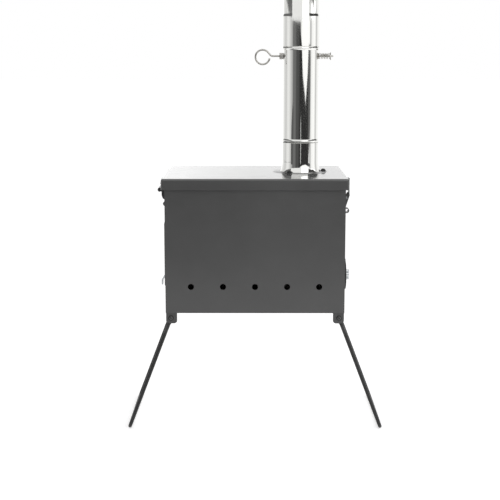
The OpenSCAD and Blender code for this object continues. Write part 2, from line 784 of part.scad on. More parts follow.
// One ring of six points round the path at index i.
function tube_ring(p, i, r) = let (
    n = len(p),
    t = i == 0 || i == n - 1 ? [1, 0, 0] : unit(unit(p[i + 1] - p[i]) + unit(p[i] - p[i - 1])),
    out = unit([0, p[i][1], p[i][2]]),
    u = unit(out - (out * t) * t),
    v = cross(t, u))
    [for (k = [0 : 5]) p[i] + r * cos(60 * k) * u + r * sin(60 * k) * v];

// A closed six-sided tube along a path.
module tube(p, r) {
    n = len(p);
    rings = [for (i = [0 : n - 1]) each tube_ring(p, i, r)];
    sides = [for (i = [0 : n - 2], k = [0 : 5]) each [
        [i * 6 + k, (i + 1) * 6 + k, i * 6 + (k + 1) % 6],
        [(i + 1) * 6 + k, (i + 1) * 6 + (k + 1) % 6, i * 6 + (k + 1) % 6]]];
    ends = [for (k = [1 : 4]) each [[0, k, k + 1], [(n - 1) * 6, (n - 1) * 6 + k + 1, (n - 1) * 6 + k]]];
    polyhedron(points = rings, faces = concat(sides, ends));
}

// The least distance between the surfaces of two neighbouring curls.
function spring_self_gap() = let (p = spring_path(), n = len(p))
    min([for (i = [0 : n - 1], j = [0 : n - 1]) if (j - i >= spring_steps - 1) norm(p[j] - p[i])])
        - spring_wire;

module damper_spring() {
    echo(spring_self_gap = spring_self_gap());
    color("#8a8c8e") at_damper() tube(spring_path(), spring_wire / 2);
}

// A split pin through the shaft's end: an eye above, two legs bent apart below.
module damper_cotter() {
    r = 0.65;
    eye = 1.6;
    fork = wire_r + 2;                          // how far below the axis the legs part
    color("#97999b") at_damper() translate([cotter_x, 0, 0]) {
        along_z([0, 0, -fork], r, fork + wire_r + 1);
        translate([0, 0, wire_r + 1 + eye]) rotate([0, 90, 0]) rotate_extrude(angle = 360)
            translate([eye, 0]) circle(r = r);
        for (y = [-1.4, 2.2]) rod([0, 0, -fork], [0, y, -fork - 2.4], r);
    }
}

// ---------------------------------------------------------------- door

function door_rivet_y() = door_axis_y - door_barrel_r - door_bracket_w / 2 - 0.5;
function door_rivet_z(up) = up == 1 ? knuckle_z + knuckle_len + gap + door_bracket_h / 2
                                    : knuckle_z - gap - door_bracket_h / 2;

module door() {
    color("#464646") difference() {
        union() {
            translate([door_face, 0, door_z + door_h / 2]) rotate([0, 90, 0])
                plate(door_h + 2 * door_lap, door_w + 2 * door_lap, door_t, 9);
            along_z([door_axis_x, door_axis_y, knuckle_z], door_barrel_r, knuckle_len);
            block([door_face, door_axis_y, knuckle_z],
                  [door_back, -door_w / 2 - door_lap + 3, knuckle_z + knuckle_len]);
        }
        along_z([door_axis_x, door_axis_y, knuckle_z - cut], door_pin_r + fit, knuckle_len + 2 * cut);
        along_x([door_face - cut, latch_y, latch_z], latch_shaft_r + fit, door_t + 2 * cut);
    }
}

// A knuckle and its plate on the end panel, above or below the door's own.
module door_hinge(up) {
    z = door_rivet_z(up);
    color("#3d3d3d") difference() {
        union() {
            along_z([door_axis_x, door_axis_y, z - door_bracket_h / 2], door_barrel_r, door_bracket_h);
            block([-half_w - leaf_t, door_axis_y - door_barrel_r - door_bracket_w, z - door_bracket_h / 2],
                  [-half_w, door_axis_y, z + door_bracket_h / 2]);
        }
        along_z([door_axis_x, door_axis_y, z - door_bracket_h], door_pin_r + fit, 2 * door_bracket_h);
        along_x([-half_w - leaf_t - cut, door_rivet_y(), z], rivet_r, leaf_t + 2 * cut);
    }
}

module door_hinge_upper() { door_hinge(1); }
module door_hinge_lower() { door_hinge(0); }

module door_hinge_pin() {
    low = door_rivet_z(0) - door_bracket_h / 2;
    high = door_rivet_z(1) + door_bracket_h / 2;
    color("#8f9193") {
        along_z([door_axis_x, door_axis_y, low - 1.5], door_pin_r, high - low + 3);
        along_z([door_axis_x, door_axis_y, high + gap], door_barrel_r - 0.1, 1.5);
    }
}

// The door hinge rivets have low heads, so that the door can swing past them.
module door_hinge_rivets() {
    color("#333333") for (up = [0, 1])
        translate([-half_w - leaf_t, door_rivet_y(), door_rivet_z(up)]) rotate([0, -90, 0])
            domed(3, 1.2, rivet_r, leaf_t + sheet);
}

// ---------------------------------------------------------------- latch

// The lever hangs from its pivot and bends outwards to a finger tip.
module latch_lever() {
    root = door_face - gap;
    tip = -half_w - latch_reach;
    low = latch_z - latch_len;
    color("#c4c5c6") {
        along_x([root, latch_y, latch_z], latch_shaft_r, tongue_x + tongue_t + 3.6 - root);
        along_x([root - latch_t, latch_y, latch_z], latch_w / 2 + 1, latch_t);
        along_x([root - latch_t - 1.6, latch_y, latch_z], latch_shaft_r + 1, 1.6);
        translate([0, latch_y + latch_w / 2, 0]) rotate([90, 0, 0]) linear_extrude(height = latch_w)
            polygon([[root, latch_z], [root - latch_t, latch_z], [root - latch_t, low + 30],
                     [tip, low + 9], [tip, low], [tip + latch_t, low], [tip + latch_t, low + 8],
                     [root, low + 29]]);
    }
}

// The bar behind the door that reaches past the opening when turned level.
module latch_tongue() {
    color("#6a6a6a") difference() {
        union() {
            along_x([tongue_x, latch_y, latch_z], tongue_w / 2, tongue_t);
            block([tongue_x, latch_y - tongue_w / 2, latch_z],
                  [tongue_x + tongue_t, latch_y + tongue_w / 2, latch_z + tongue_len]);
        }
        along_x([tongue_x - cut, latch_y, latch_z], latch_shaft_r, tongue_t + 2 * cut);
    }
}

module latch_nut() {
    color("#b5b7b8") translate([tongue_x + tongue_t, latch_y, latch_z]) rotate([0, 90, 0])
        hex_nut(5.5, 3, latch_shaft_r);
}

// ---------------------------------------------------------------- air vent

// Four round holes on the vent's circle.
module vent_holes(x, t) {
    for (i = [0 : 3]) translate([0, 0, air_z]) rotate([45 + 90 * i, 0, 0])
        along_x([x - cut, vent_ring, 0], vent_hole / 2, t + 2 * cut);
}

// The drum is a shallow cup welded round the throat, its face pierced.
module vent_drum_cap() {
    color("#454545") difference() {
        along_x([half_w, 0, air_z], drum_r, vent_drum);
        along_x([half_w - cut, 0, air_z], drum_r - sheet, vent_drum - sheet + cut);
        vent_holes(drum_face - sheet, sheet);
        along_x([half_w, 0, air_z], stud_r, vent_drum + cut);
    }
}

// The disc turns on the stud; its holes meet the drum's holes when open.
module vent_disc() {
    color("#4b4b4b") difference() {
        union() {
            along_x([disc_x, 0, air_z], vent_d / 2, disc_t);
            translate([disc_x, 0, air_z + vent_d / 2 - 1]) rotate([0, 90, 0]) plate(6, 10, disc_t, 2);
        }
        vent_holes(disc_x, disc_t);
        along_x([disc_x - cut, 0, air_z], stud_r + fit, disc_t + 2 * cut);
    }
}

module vent_stud() {
    head = drum_face - sheet;
    color("#b5b7b8") {
        along_x([head, 0, air_z], stud_r, wing_x + wing_h - head);
        translate([head - 2.5, 0, air_z]) rotate([0, 90, 0]) cylinder(r = 4.5, h = 2.5, $fn = 6);
    }
}

module vent_wing_nut() {
    color("#c4c5c6") difference() {
        union() {
            along_x([wing_x, 0, air_z], wing_hub, wing_h - 0.8);
            translate([wing_x, 0, air_z]) rotate([0, 90, 0]) linear_extrude(height = wing_h)
                rotate([0, 0, 12]) {
                    square([wing_span - 5, 1.8], center = true);
                    for (s = [-1, 1]) translate([s * (wing_span / 2 - 2.5), 0]) circle(r = 2.5);
                }
        }
        along_x([wing_x - cut, 0, air_z], stud_r + fit, wing_h + 2 * cut);
    }
}

// ---------------------------------------------------------------- lid catch

function catch_rivet_y() = catch_half + ear_t + gap + 4.2;

// A channel-shaped lever: claw above, cheeks round the pin, eye below.
module lid_catch() {
    face = catch_x + 6;                          // outermost line of the catch
    foot = [catch_x - 0.2, catch_z - 15];        // where the strip meets the eye
    claw_z = skirt_z + keeper_up + sheet + 0.6;
    claw_x = lid_w + keeper_reach + 0.9;         // tip of the claw, clear of the keeper
    eye = [catch_x + 1.2, catch_z - 22];
    color("#3f3f3f") difference() {
        union() {
            translate([0, catch_half, 0]) rotate([90, 0, 0]) linear_extrude(height = catch_w)
                polygon([[claw_x, claw_z], [claw_x, claw_z + strip_t], [face - 0.4, claw_z + strip_t],
                         [face - 0.4, catch_z + 8], [face, catch_z + 4], foot,
                         [eye[0] - eye_bore, eye[1] + 2.4], [eye[0] - eye_r + 0.5, eye[1] + 1.6],
                         [foot[0] - strip_t, foot[1]], [face - strip_t, catch_z + 4],
                         [face - 0.4 - strip_t, catch_z + 8], [face - 0.4 - strip_t, claw_z]]);
            for (side = [-1, 1])
                translate([0, side * (catch_half - cheek_t / 2) + cheek_t / 2, 0]) rotate([90, 0, 0])
                    linear_extrude(height = cheek_t) {
                        translate([catch_x, catch_z]) circle(r = 3);
                        polygon([[catch_x, catch_z + 3], [catch_x + 3, catch_z + 8], [face - 1, catch_z + 8],
                                 [face - 0.5, catch_z + 4], [catch_x + 0.2, catch_z - 12],
                                 [catch_x - 2.4, catch_z - 1.8]]);
                    }
            along_y([eye[0], -catch_half, eye[1]], eye_r, catch_w);
        }
        along_y([catch_x, -catch_w, catch_z], catch_pin_r + fit, 2 * catch_w);
        along_y([eye[0], -catch_w, eye[1]], eye_bore, 2 * catch_w);
    }
}

// Two ears on a plate that is riveted to the end panel.
module catch_bracket() {
    reach = catch_half + gap + ear_t;
    wing = catch_rivet_y() + 4;
    color("#3a3a3a") difference() {
        union() {
            block([half_w, -wing, catch_z - 6], [half_w + ear_t, wing, catch_z + 6]);
            for (side = [-1, 1])
                translate([0, side * (reach - ear_t / 2) + ear_t / 2, 0]) rotate([90, 0, 0])
                    linear_extrude(height = ear_t) {
                        translate([catch_x, catch_z]) circle(r = 3);
                        translate([half_w, catch_z - 3]) square([catch_off, 6]);
                    }
        }
        along_y([catch_x, -catch_w, catch_z], catch_pin_r, 2 * catch_w);
        for (side = [-1, 1])
            along_x([half_w - cut, side * catch_rivet_y(), catch_z], rivet_r, ear_t + 2 * cut);
    }
}

module catch_pin() {
    reach = catch_half + gap + ear_t;
    color("#8f9193") {
        along_y([catch_x, -reach, catch_z], catch_pin_r, 2 * reach);
        for (side = [-1, 1])
            along_y([catch_x, side > 0 ? reach : -reach - 0.8, catch_z], catch_pin_r + 0.7, 0.8);
    }
}

module catch_rivets() {
    color("#333333") for (side = [-1, 1])
        translate([half_w + ear_t, side * catch_rivet_y(), catch_z]) rotate([0, 90, 0])
            domed(3, 1.4, rivet_r, ear_t + sheet);
}

// The lip on the lid's skirt that the claw reaches over.
module catch_keeper() {
    half = catch_half + 2;
    color("#3a3a3a") {
        block([lid_w, -half, skirt_z + 1], [lid_w + sheet, half, skirt_z + keeper_up + sheet]);
        block([lid_w, -half, skirt_z + keeper_up], [lid_w + keeper_reach, half, skirt_z + keeper_up + sheet]);
    }
}

// ---------------------------------------------------------------- assembly

side_panel_front();
side_panel_back();
end_panel_door();
end_panel_vent();
base_pan();
grate();
grate_ledge_front();
grate_ledge_back();
leg_bracket_front_left();
leg_bracket_front_right();
leg_bracket_back_left();
leg_bracket_back_right();
leg_rivets();
leg_frame_left();
leg_frame_right();
lid();
lid_hinge_leaf_front();
lid_hinge_leaf_back();
body_hinge_leaf_front();
body_hinge_leaf_back();
lid_hinge_pins();
lid_hinge_rivets();
body_hinge_rivets();
flue_collar();
collar_screws();
collar_nuts();
damper_pipe();
upper_pipe();
damper_shaft();
damper_plate();
damper_stop_nut();
damper_washers();
damper_spring();
damper_cotter();
door();
door_hinge_upper();
door_hinge_lower();
door_hinge_pin();
door_hinge_rivets();
latch_lever();
latch_tongue();
latch_nut();
vent_drum_cap();
vent_disc();
vent_stud();
vent_wing_nut();
lid_catch();
catch_bracket();
catch_pin();
catch_rivets();
catch_keeper();
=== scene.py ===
"""A small tent wood stove: folded sheet steel, bent rod legs and a polished flue, built round its frame."""

import json
import math

import bpy
from bpy.props import FloatProperty, FloatVectorProperty, IntProperty, PointerProperty
from bpy.types import Operator, Panel, PropertyGroup
from mathutils import Matrix, Vector

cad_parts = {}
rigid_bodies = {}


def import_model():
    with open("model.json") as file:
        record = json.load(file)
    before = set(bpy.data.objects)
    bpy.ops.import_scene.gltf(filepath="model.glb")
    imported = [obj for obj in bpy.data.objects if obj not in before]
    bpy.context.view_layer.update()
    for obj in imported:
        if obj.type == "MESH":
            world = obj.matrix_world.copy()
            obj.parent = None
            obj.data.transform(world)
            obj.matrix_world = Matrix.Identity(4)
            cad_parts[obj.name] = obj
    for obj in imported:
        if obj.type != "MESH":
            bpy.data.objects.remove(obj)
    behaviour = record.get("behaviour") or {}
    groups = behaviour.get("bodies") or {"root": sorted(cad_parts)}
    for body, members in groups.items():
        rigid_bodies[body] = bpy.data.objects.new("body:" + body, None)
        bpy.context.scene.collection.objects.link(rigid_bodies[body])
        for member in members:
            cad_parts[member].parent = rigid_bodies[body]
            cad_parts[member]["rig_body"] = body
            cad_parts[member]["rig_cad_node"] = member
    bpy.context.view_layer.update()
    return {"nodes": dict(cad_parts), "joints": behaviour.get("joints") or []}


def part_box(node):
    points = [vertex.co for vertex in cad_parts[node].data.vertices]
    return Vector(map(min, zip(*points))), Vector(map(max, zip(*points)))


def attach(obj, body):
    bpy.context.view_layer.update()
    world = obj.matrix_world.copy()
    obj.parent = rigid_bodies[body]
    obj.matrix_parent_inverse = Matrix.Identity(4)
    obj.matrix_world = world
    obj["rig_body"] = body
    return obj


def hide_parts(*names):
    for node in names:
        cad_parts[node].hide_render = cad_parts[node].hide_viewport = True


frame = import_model()

bl_info = {
    "name": "Tent wood stove",
    "version": (1, 0, 0),
    "blender": (4, 5, 0),
    "location": "3D View > Sidebar > Stove",
    "description": "Models and finishes a small tent wood stove round its packed frame",
    "category": "Object",
}

MM = 0.001

# ---------------------------------------------------------------- places read from the frame

LID_LOW, LID_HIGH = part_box("lid")
PIPE_LOW, PIPE_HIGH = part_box("damper_pipe")
UPPER_LOW, UPPER_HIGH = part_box("upper_pipe")
COLLAR_LOW, COLLAR_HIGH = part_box("flue_collar")
PLATE_LOW, PLATE_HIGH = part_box("damper_plate")
SPRING_LOW, SPRING_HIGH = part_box("damper_spring")
SHAFT_LOW, SHAFT_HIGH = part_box("damper_shaft")
FLUE = Vector(((COLLAR_LOW.x + COLLAR_HIGH.x) / 2, (COLLAR_LOW.y + COLLAR_HIGH.y) / 2, 0))
DAMPER_Z = (PLATE_LOW.z + PLATE_HIGH.z) / 2


def joint_place(name):
    """The point that a joint turns about, at rest."""
    return Vector(next(j["pos_m"] for j in frame["joints"] if j["name"] == name))


# ---------------------------------------------------------------- colours and sizes


def linear(code):
    """The linear RGBA of an sRGB hex colour."""
    parts = [int(code[i:i + 2], 16) / 255 for i in (1, 3, 5)]
    return tuple(p / 12.92 if p <= 0.04045 else ((p + 0.055) / 1.055) ** 2.4 for p in parts) + (1.0,)


def colour(label, note, code):
    """A colour property with its default given in hex."""
    return FloatVectorProperty(name=label, description=note, subtype="COLOR", size=4,
                               min=0, max=1, default=linear(code))


def length(label, note, millimetres):
    """A length property with its default given in millimetres."""
    return FloatProperty(name=label, description=note, subtype="DISTANCE", unit="LENGTH",
                         min=0, default=millimetres * MM)


class StoveColours(PropertyGroup):
    """The colours of the stove's finishes."""

    paint: colour("Paint", "Heat-proof paint on the firebox and the lid", "#3d3d3d")
    fittings: colour("Fittings", "Paint on hinges, brackets, rivets and the catch", "#303030")
    rod: colour("Leg rod", "Paint on the bent rod legs", "#212121")
    stainless: colour("Stainless", "Polished stainless steel of the flue", "#e6e6e3")
    wire: colour("Wire", "Drawn stainless wire of the damper", "#b5b3ae")
    zinc: colour("Zinc", "Bright zinc plate on nuts, pins and the latch", "#cfd2d4")
    # also the painted shade on the leg pivot rivets' centres and outer rings
    oxide: colour("Black oxide", "Black oxide of the collar's screws", "#121212")
    bare: colour("Bare steel", "Unpainted steel of the grate", "#4b4744")


class StoveSizes(PropertyGroup):
    """The small sizes that the frame leaves to the finish."""

    lid_corner: length("Lid corner", "Corner radius of the lid, seen from above", 4.2)
    lid_bend: length("Lid bend", "Radius of the bend between the lid's top and its skirt", 3.6)
    sheet: length("Sheet", "Thickness of the firebox's and the lid's sheet", 1.2)
    rim: length("Rim", "Width of the side panels' folded rim", 9)
    fold: length("Fold", "Outside radius of the folds in the side panels", 1.8)
    hole: length("Air hole", "Diameter of an air hole", 10)
    hole_pitch: length("Hole pitch", "Distance between neighbouring air holes", 52)
    holes: IntProperty(name="Air holes", description="Number of air holes in a side panel", default=5, min=1)
    rod: length("Leg rod", "Diameter of the leg rods", 6)
    foot_bend: length("Foot bend", "Mean radius of the bends at a leg's foot", 10)
    crank_bend: length("Crank bend", "Mean radius of the bends at a leg's crank", 8)
    flue: length("Flue", "Outside diameter of the flue pipe", 60)
    flue_wall: length("Flue wall", "Thickness of the flue's sheet", 0.6)
    socket: length("Socket", "Outside diameter of the collar and of the upper pipe's foot", 61.8)
    bead_height: length("Bead height", "Height of a bead rolled into the pipe", 6)
    bead_swell: length("Bead swell", "How far a bead stands out of the pipe", 1.3)
    wire: length("Damper wire", "Diameter of the damper's shaft", 3)
    ring: length("Finger ring", "Mean radius of the damper's finger ring", 12)
    spring_wire: length("Spring wire", "Diameter of the spring's wire", 1.3)
    curls: IntProperty(name="Curls", description="Number of curls in the spring", default=5, min=2)
    break_edge: length("Broken edge", "Rounding of cut sheet edges", 0.24)


class StoveStage(PropertyGroup):
    """The camera, the lamps and the floor."""

    eye: FloatVectorProperty(name="Eye", description="Place of the camera", subtype="TRANSLATION",
                             default=(-0.0025, -1.815, 0.6109))
    pitch: FloatProperty(name="Pitch", description="How far the camera looks down", subtype="ANGLE",
                         default=math.radians(8.51))
    yaw: FloatProperty(name="Yaw", description="How far the camera looks to the right", subtype="ANGLE",
                       default=math.radians(-0.19))
    lens: FloatProperty(name="Lens", description="Focal length in millimetres", default=77.5)
    shift: FloatProperty(name="Shift", description="Vertical lens shift", default=-0.06)
    ambient: FloatProperty(name="Ambient", description="Level of the light from all round", default=0.62)
    softbox: FloatProperty(name="Softbox", description="Brightness of the softboxes", default=1.7)
    fill: FloatProperty(name="Fill", description="Brightness of the low lamp at the right", default=1.6)
    floor_glow: FloatProperty(name="Floor glow", description="How far the floor is lifted to white",
                              default=0.56)


def sizes():
    """The stove's size settings."""
    return bpy.context.scene.stove_sizes


def colours():
    """The stove's colour settings."""
    return bpy.context.scene.stove_colours


# ---------------------------------------------------------------- materials


def add_node(tree, kind, settings=None, links=None):
    """Adds a node, sets its values or inputs by name and joins its inputs."""
    node = tree.nodes.new(kind)
    for name, value in (settings or {}).items():
        if hasattr(node, name):
            setattr(node, name, value)
        else:
            node.inputs[name].default_value = value
    for name, output in (links or {}).items():
        tree.links.new(output, node.inputs[name])
    return node


def per_metre(millimetres):
    """A texture scale that makes its features this size."""
    return 1 / (millimetres * MM)


def grain(tree, size_mm, stretch=(1, 1, 1), detail=2.0):
    """Noise on object coordinates with features of a real size, drawn out along an axis."""
    place = add_node(tree, "ShaderNodeTexCoord")
    mapping = add_node(tree, "ShaderNodeMapping", {"Scale": stretch}, {"Vector": place.outputs["Object"]})
    return add_node(tree, "ShaderNodeTexNoise", {"Scale": per_metre(size_mm), "Detail": detail},
                    {"Vector": mapping.outputs["Vector"]}).outputs["Fac"]


def spread(tree, factor, low, high):
    """Maps the middle of a noise to a range of values."""
    return add_node(tree, "ShaderNodeMapRange", {"From Min": 0.3, "From Max": 0.7, "To Min": low,
                                                 "To Max": high}, {"Value": factor}).outputs["Result"]


def tint(tree, factor, tone, low, high):
    """A colour ramp from a darker to a lighter shade of one tone."""
    ramp = add_node(tree, "ShaderNodeValToRGB", links={"Fac": factor})
    for stop, place, shade in ((0, 0.3, low), (1, 0.7, high)):
        ramp.color_ramp.elements[stop].position = place
        ramp.color_ramp.elements[stop].color = [channel * shade for channel in tone[:3]] + [1]
    return ramp.outputs["Color"]


def surface(name, settings, colour_from=None, roughness_from=None, bump_from=None, bump=(0.1, 0.05)):
    """A Principled material; the *_from functions build the inputs that vary over the surface."""
    material = bpy.data.materials.new(name)
    material.use_nodes = True
    tree = material.node_tree
    shader = tree.nodes["Principled BSDF"]
    for socket, value in settings.items():
        shader.inputs[socket].default_value = value
    if colour_from:
        tree.links.new(colour_from(tree), shader.inputs["Base Color"])
    if roughness_from:
        tree.links.new(roughness_from(tree), shader.inputs["Roughness"])
    if bump_from:
        strength, depth_mm = bump
        ripple = add_node(tree, "ShaderNodeBump", {"Strength": strength, "Distance": depth_mm * MM},
                          {"Height": bump_from(tree)})
        tree.links.new(ripple.outputs["Normal"], shader.inputs["Normal"])
    return material


def heatproof_paint(name, tone):
    """Heat-proof paint sprayed on steel: an even satin film with a fine orange peel."""
    return surface(name, {"IOR": 1.5, "Coat Weight": 0.55, "Coat Roughness": 0.2},
                   colour_from=lambda tree: tint(tree, grain(tree, 45, detail=3), tone, 0.94, 1.06),
                   roughness_from=lambda tree: spread(tree, grain(tree, 18), 0.42, 0.5),
                   bump_from=lambda tree: grain(tree, 0.9), bump=(0.16, 0.03))


def levelled_paint(name, tone, haze):
    """The same paint where it lay level while it cured: a glassy film that mirrors at a low angle."""
    return surface(name, {"IOR": 1.5, "Coat Weight": 1.0, "Coat Roughness": haze},
                   colour_from=lambda tree: tint(tree, grain(tree, 45, detail=3), tone, 0.94, 1.06),
                   roughness_from=lambda tree: spread(tree, grain(tree, 18), 0.3, 0.38),
                   bump_from=lambda tree: grain(tree, 2.5), bump=(0.08, 0.02))


def rod_paint(name, tone):
    """The same paint on drawn rod, a little worn and glossier along the rod."""
    return surface(name, {"IOR": 1.42},
                   colour_from=lambda tree: tint(tree, grain(tree, 12), tone, 0.88, 1.14),
                   roughness_from=lambda tree: spread(tree, grain(tree, 6), 0.38, 0.5),
                   bump_from=lambda tree: grain(tree, 0.8), bump=(0.2, 0.03))


def polished_stainless(name, tone):
    """Mirror-polished stainless sheet: crisp reflections with faint rolling lines along the pipe."""
    return surface(name, {"Base Color": tone, "Metallic": 1.0},
                   roughness_from=lambda tree: spread(tree, grain(tree, 3, (1, 1, 0.04)), 0.045, 0.085),
                   bump_from=lambda tree: grain(tree, 2, (1, 1, 0.03)), bump=(0.05, 0.004))


def drawn_wire(name, tone):
    """Stainless wire and sheet with the dull lines of drawing."""
    return surface(name, {"Metallic": 1.0},
                   colour_from=lambda tree: tint(tree, grain(tree, 4), tone, 0.86, 1.05),
                   roughness_from=lambda tree: spread(tree, grain(tree, 1.5, (0.1, 1, 1)), 0.2, 0.34),
                   bump_from=lambda tree: grain(tree, 0.5, (0.1, 1, 1)), bump=(0.1, 0.01))


def zinc_plate(name, tone):
    """Bright zinc plate: a clean silver with a faint cloudy bloom."""
    return surface(name, {"Metallic": 1.0},
                   colour_from=lambda tree: tint(tree, grain(tree, 5, detail=3), tone, 0.9, 1.04),
                   roughness_from=lambda tree: spread(tree, grain(tree, 2.5), 0.2, 0.32),
                   bump_from=lambda tree: grain(tree, 0.6), bump=(0.06, 0.01))


def black_oxide(name, tone):
    """Oiled black oxide on a screw head: nearly black with a soft shine."""
    return surface(name, {"IOR": 1.42},
                   colour_from=lambda tree: tint(tree, grain(tree, 2), tone, 0.8, 1.3),
                   roughness_from=lambda tree: spread(tree, grain(tree, 1), 0.3, 0.42))


def bare_steel(name, tone):
    """Hot-rolled steel that has seen fire: dark scale with browner clouds."""
    return surface(name, {"Metallic": 0.75},
                   colour_from=lambda tree: tint(tree, grain(tree, 14, detail=5), tone, 0.7, 1.2),
                   roughness_from=lambda tree: spread(tree, grain(tree, 5), 0.48, 0.66),
                   bump_from=lambda tree: grain(tree, 0.9, detail=4), bump=(0.3, 0.05))


FINISHES = {
    "black_steel": ("heat-proof paint on sheet", heatproof_paint, "paint"),
    "black_fittings": ("heat-proof paint on fittings", heatproof_paint, "fittings"),
    "leg_rod": ("painted rod", rod_paint, "rod"),
    "grate_steel": ("hot-rolled steel", bare_steel, "bare"),
    "flue_steel": ("polished stainless sheet", polished_stainless, "stainless"),
    # its near-black also paints shade on the leg pivot rivets' centres and outer rings
    "black_screws": ("black oxide", black_oxide, "oxide"),
    "plated_steel": ("zinc plate", zinc_plate, "zinc"),
    "damper_steel": ("drawn stainless", drawn_wire, "wire"),
}


def finish_of(slot):
    """The material of a slot of the record, made once."""
    name, make, tone = FINISHES[slot]
    return bpy.data.materials.get(name) or make(name, tuple(getattr(colours(), tone)))


def levelled_film(name, haze):
    """The paint as it levelled on faces that lay flat; the haze is the roughness of its film."""
    return levelled_paint(name, tuple(colours().paint), haze)


def second_finish(obj, material, test):
    """Gives the faces that pass the test a finish of their own."""
    obj.data.materials.append(material)
    for face in obj.data.polygons:
        if test(face.center, face.normal):
            face.material_index = len(obj.data.materials) - 1


# ---------------------------------------------------------------- workshop steps


def take(obj):
    """Selects one object alone and makes it the active one."""
    bpy.ops.object.select_all(action="DESELECT")
    obj.select_set(True)
    bpy.context.view_layer.objects.active = obj
    return obj


def settle(obj):
    """Puts the object's place, turn and size into its mesh."""
    take(obj)
    bpy.ops.object.transform_apply(location=True, rotation=True, scale=True)
    return obj


def use_modifier(obj, kind, **settings):
    """Adds a modifier, sets it and applies it."""
    take(obj)
    bpy.ops.object.modifier_add(type=kind)
    modifier = obj.modifiers[-1]
    for name, value in settings.items():
        setattr(modifier, name, value)
    bpy.ops.object.modifier_apply(modifier=modifier.name)
    return obj


def pick(obj, part, test):
    """Enters edit mode with the vertices, edges or faces selected that pass the test."""
    take(obj)
    bpy.ops.object.mode_set(mode="EDIT")
    bpy.ops.mesh.select_mode(type=part)
    bpy.ops.mesh.select_all(action="DESELECT")
    bpy.ops.object.mode_set(mode="OBJECT")
    mesh = obj.data
    for item in {"VERT": mesh.vertices, "EDGE": mesh.edges, "FACE": mesh.polygons}[part]:
        if part == "VERT":
            item.select = test(item.co)
        elif part == "EDGE":
            item.select = test(*[mesh.vertices[i].co for i in item.vertices])
        else:
            item.select = test(item.center, item.normal)
    bpy.ops.object.mode_set(mode="EDIT")


def leave():
    """Back to object mode with everything unselected."""
    bpy.ops.mesh.select_all(action="DESELECT")
    bpy.ops.object.mode_set(mode="OBJECT")


def near(a, b, slack=1e-5):
    """Whether two lengths are the same to a hundredth of a millimetre."""
    return abs(a - b) < slack


def outwards(obj):
    """Merges doubles and turns every face of a closed mesh outwards."""
    take(obj)
    bpy.ops.object.mode_set(mode="EDIT")
    bpy.ops.mesh.select_all(action="SELECT")
    bpy.ops.mesh.remove_doubles(threshold=1e-6)
    bpy.ops.mesh.normals_make_consistent(inside=False)
    leave()
    return obj


def drill(obj, centre, axis, radius, depth, sides=40):
    """Cuts a round hole through the piece."""
    turn = Vector(axis).to_track_quat("Z", "Y").to_euler()
    bpy.ops.object.select_all(action="DESELECT")
    bpy.ops.mesh.primitive_cylinder_add(vertices=sides, radius=radius, depth=depth, location=centre,
                                        rotation=turn)
    drill_bit = bpy.context.active_object
    use_modifier(obj, "BOOLEAN", operation="DIFFERENCE", solver="EXACT", object=drill_bit)
    take(drill_bit)
    bpy.ops.object.delete()


def break_edges(obj, width, segments=2, angle=35):
    """Rounds every sharp edge by a small width."""
    return use_modifier(obj, "BEVEL", width=width, segments=segments, limit_method="ANGLE",
                        angle_limit=math.radians(angle), use_clamp_overlap=True, harden_normals=False)


def hand_over(obj, name, body, slot, *nodes, smooth=32, flat=True):
    """Names a finished piece, gives it its finish and its body, and retires the nodes it stands for."""
    obj.name = name
    obj.data.name = name
    take(obj)
    bpy.ops.object.shade_smooth_by_angle(angle=math.radians(smooth))
    if flat:                                             # keeps the shading of flat faces even
        use_modifier(obj, "WEIGHTED_NORMAL", keep_sharp=True)
    obj.data.materials.clear()
    obj.data.materials.append(finish_of(slot))
    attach(obj, body)
    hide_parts(*nodes)
    bpy.ops.object.select_all(action="DESELECT")
    return obj


def from_node(node):
    """A copy of a node's mesh, merged and with its flat faces made whole."""
    source = frame["nodes"][node]
    piece = source.copy()
    piece.data = source.data.copy()
    piece.parent = None
    bpy.context.collection.objects.link(piece)
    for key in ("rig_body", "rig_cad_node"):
        del piece[key]
    take(piece)
    bpy.ops.mesh.customdata_custom_splitnormals_clear()
    bpy.ops.object.mode_set(mode="EDIT")
    bpy.ops.mesh.select_all(action="SELECT")
    bpy.ops.mesh.remove_doubles(threshold=1e-6)
    bpy.ops.mesh.dissolve_limited(angle_limit=math.radians(0.5))
    leave()
    return piece


def trimmed(name, node, body, slot, width_mm=0.3, segments=2):
    """A node's own shape with its cut edges broken."""
    piece = from_node(node)
    if width_mm:
        break_edges(piece, width_mm * MM, segments)
    hand_over(piece, name, body, slot, node)


def join(pieces):
    """Joins objects into the first one."""
    take(pieces[0])
    for piece in pieces:
        piece.select_set(True)
    bpy.ops.object.join()
    return pieces[0]


def turned(centre, outline, sides=96):
    """Turns a closed outline of (radius, height) about an upright axis, ring by ring."""
    bpy.ops.object.select_all(action="DESELECT")
    radius, height = outline[0]
    bpy.ops.mesh.primitive_circle_add(vertices=sides, radius=radius, location=(centre.x, centre.y, height))
    piece = settle(bpy.context.active_object)
    bpy.ops.object.mode_set(mode="EDIT")
    bpy.ops.mesh.select_mode(type="EDGE")
    bpy.ops.mesh.select_all(action="SELECT")
    for next_radius, next_height in outline[1:] + outline[:1]:
        bpy.ops.mesh.extrude_region_move(TRANSFORM_OT_translate={"value": (0, 0, next_height - height)})
        grow = next_radius / radius
        bpy.ops.transform.resize(value=(grow, grow, 1), center_override=(centre.x, centre.y, next_height))
        radius, height = next_radius, next_height
    leave()
    return outwards(piece)


def bead(radius, middle, steps=8):
    """The outline of a round bead rolled into a pipe, from its foot to its top."""
    height, swell = sizes().bead_height, sizes().bead_swell
    return [(radius + swell * math.sin(math.pi * i / steps), middle - height / 2 + height * i / steps)
            for i in range(steps + 1)]


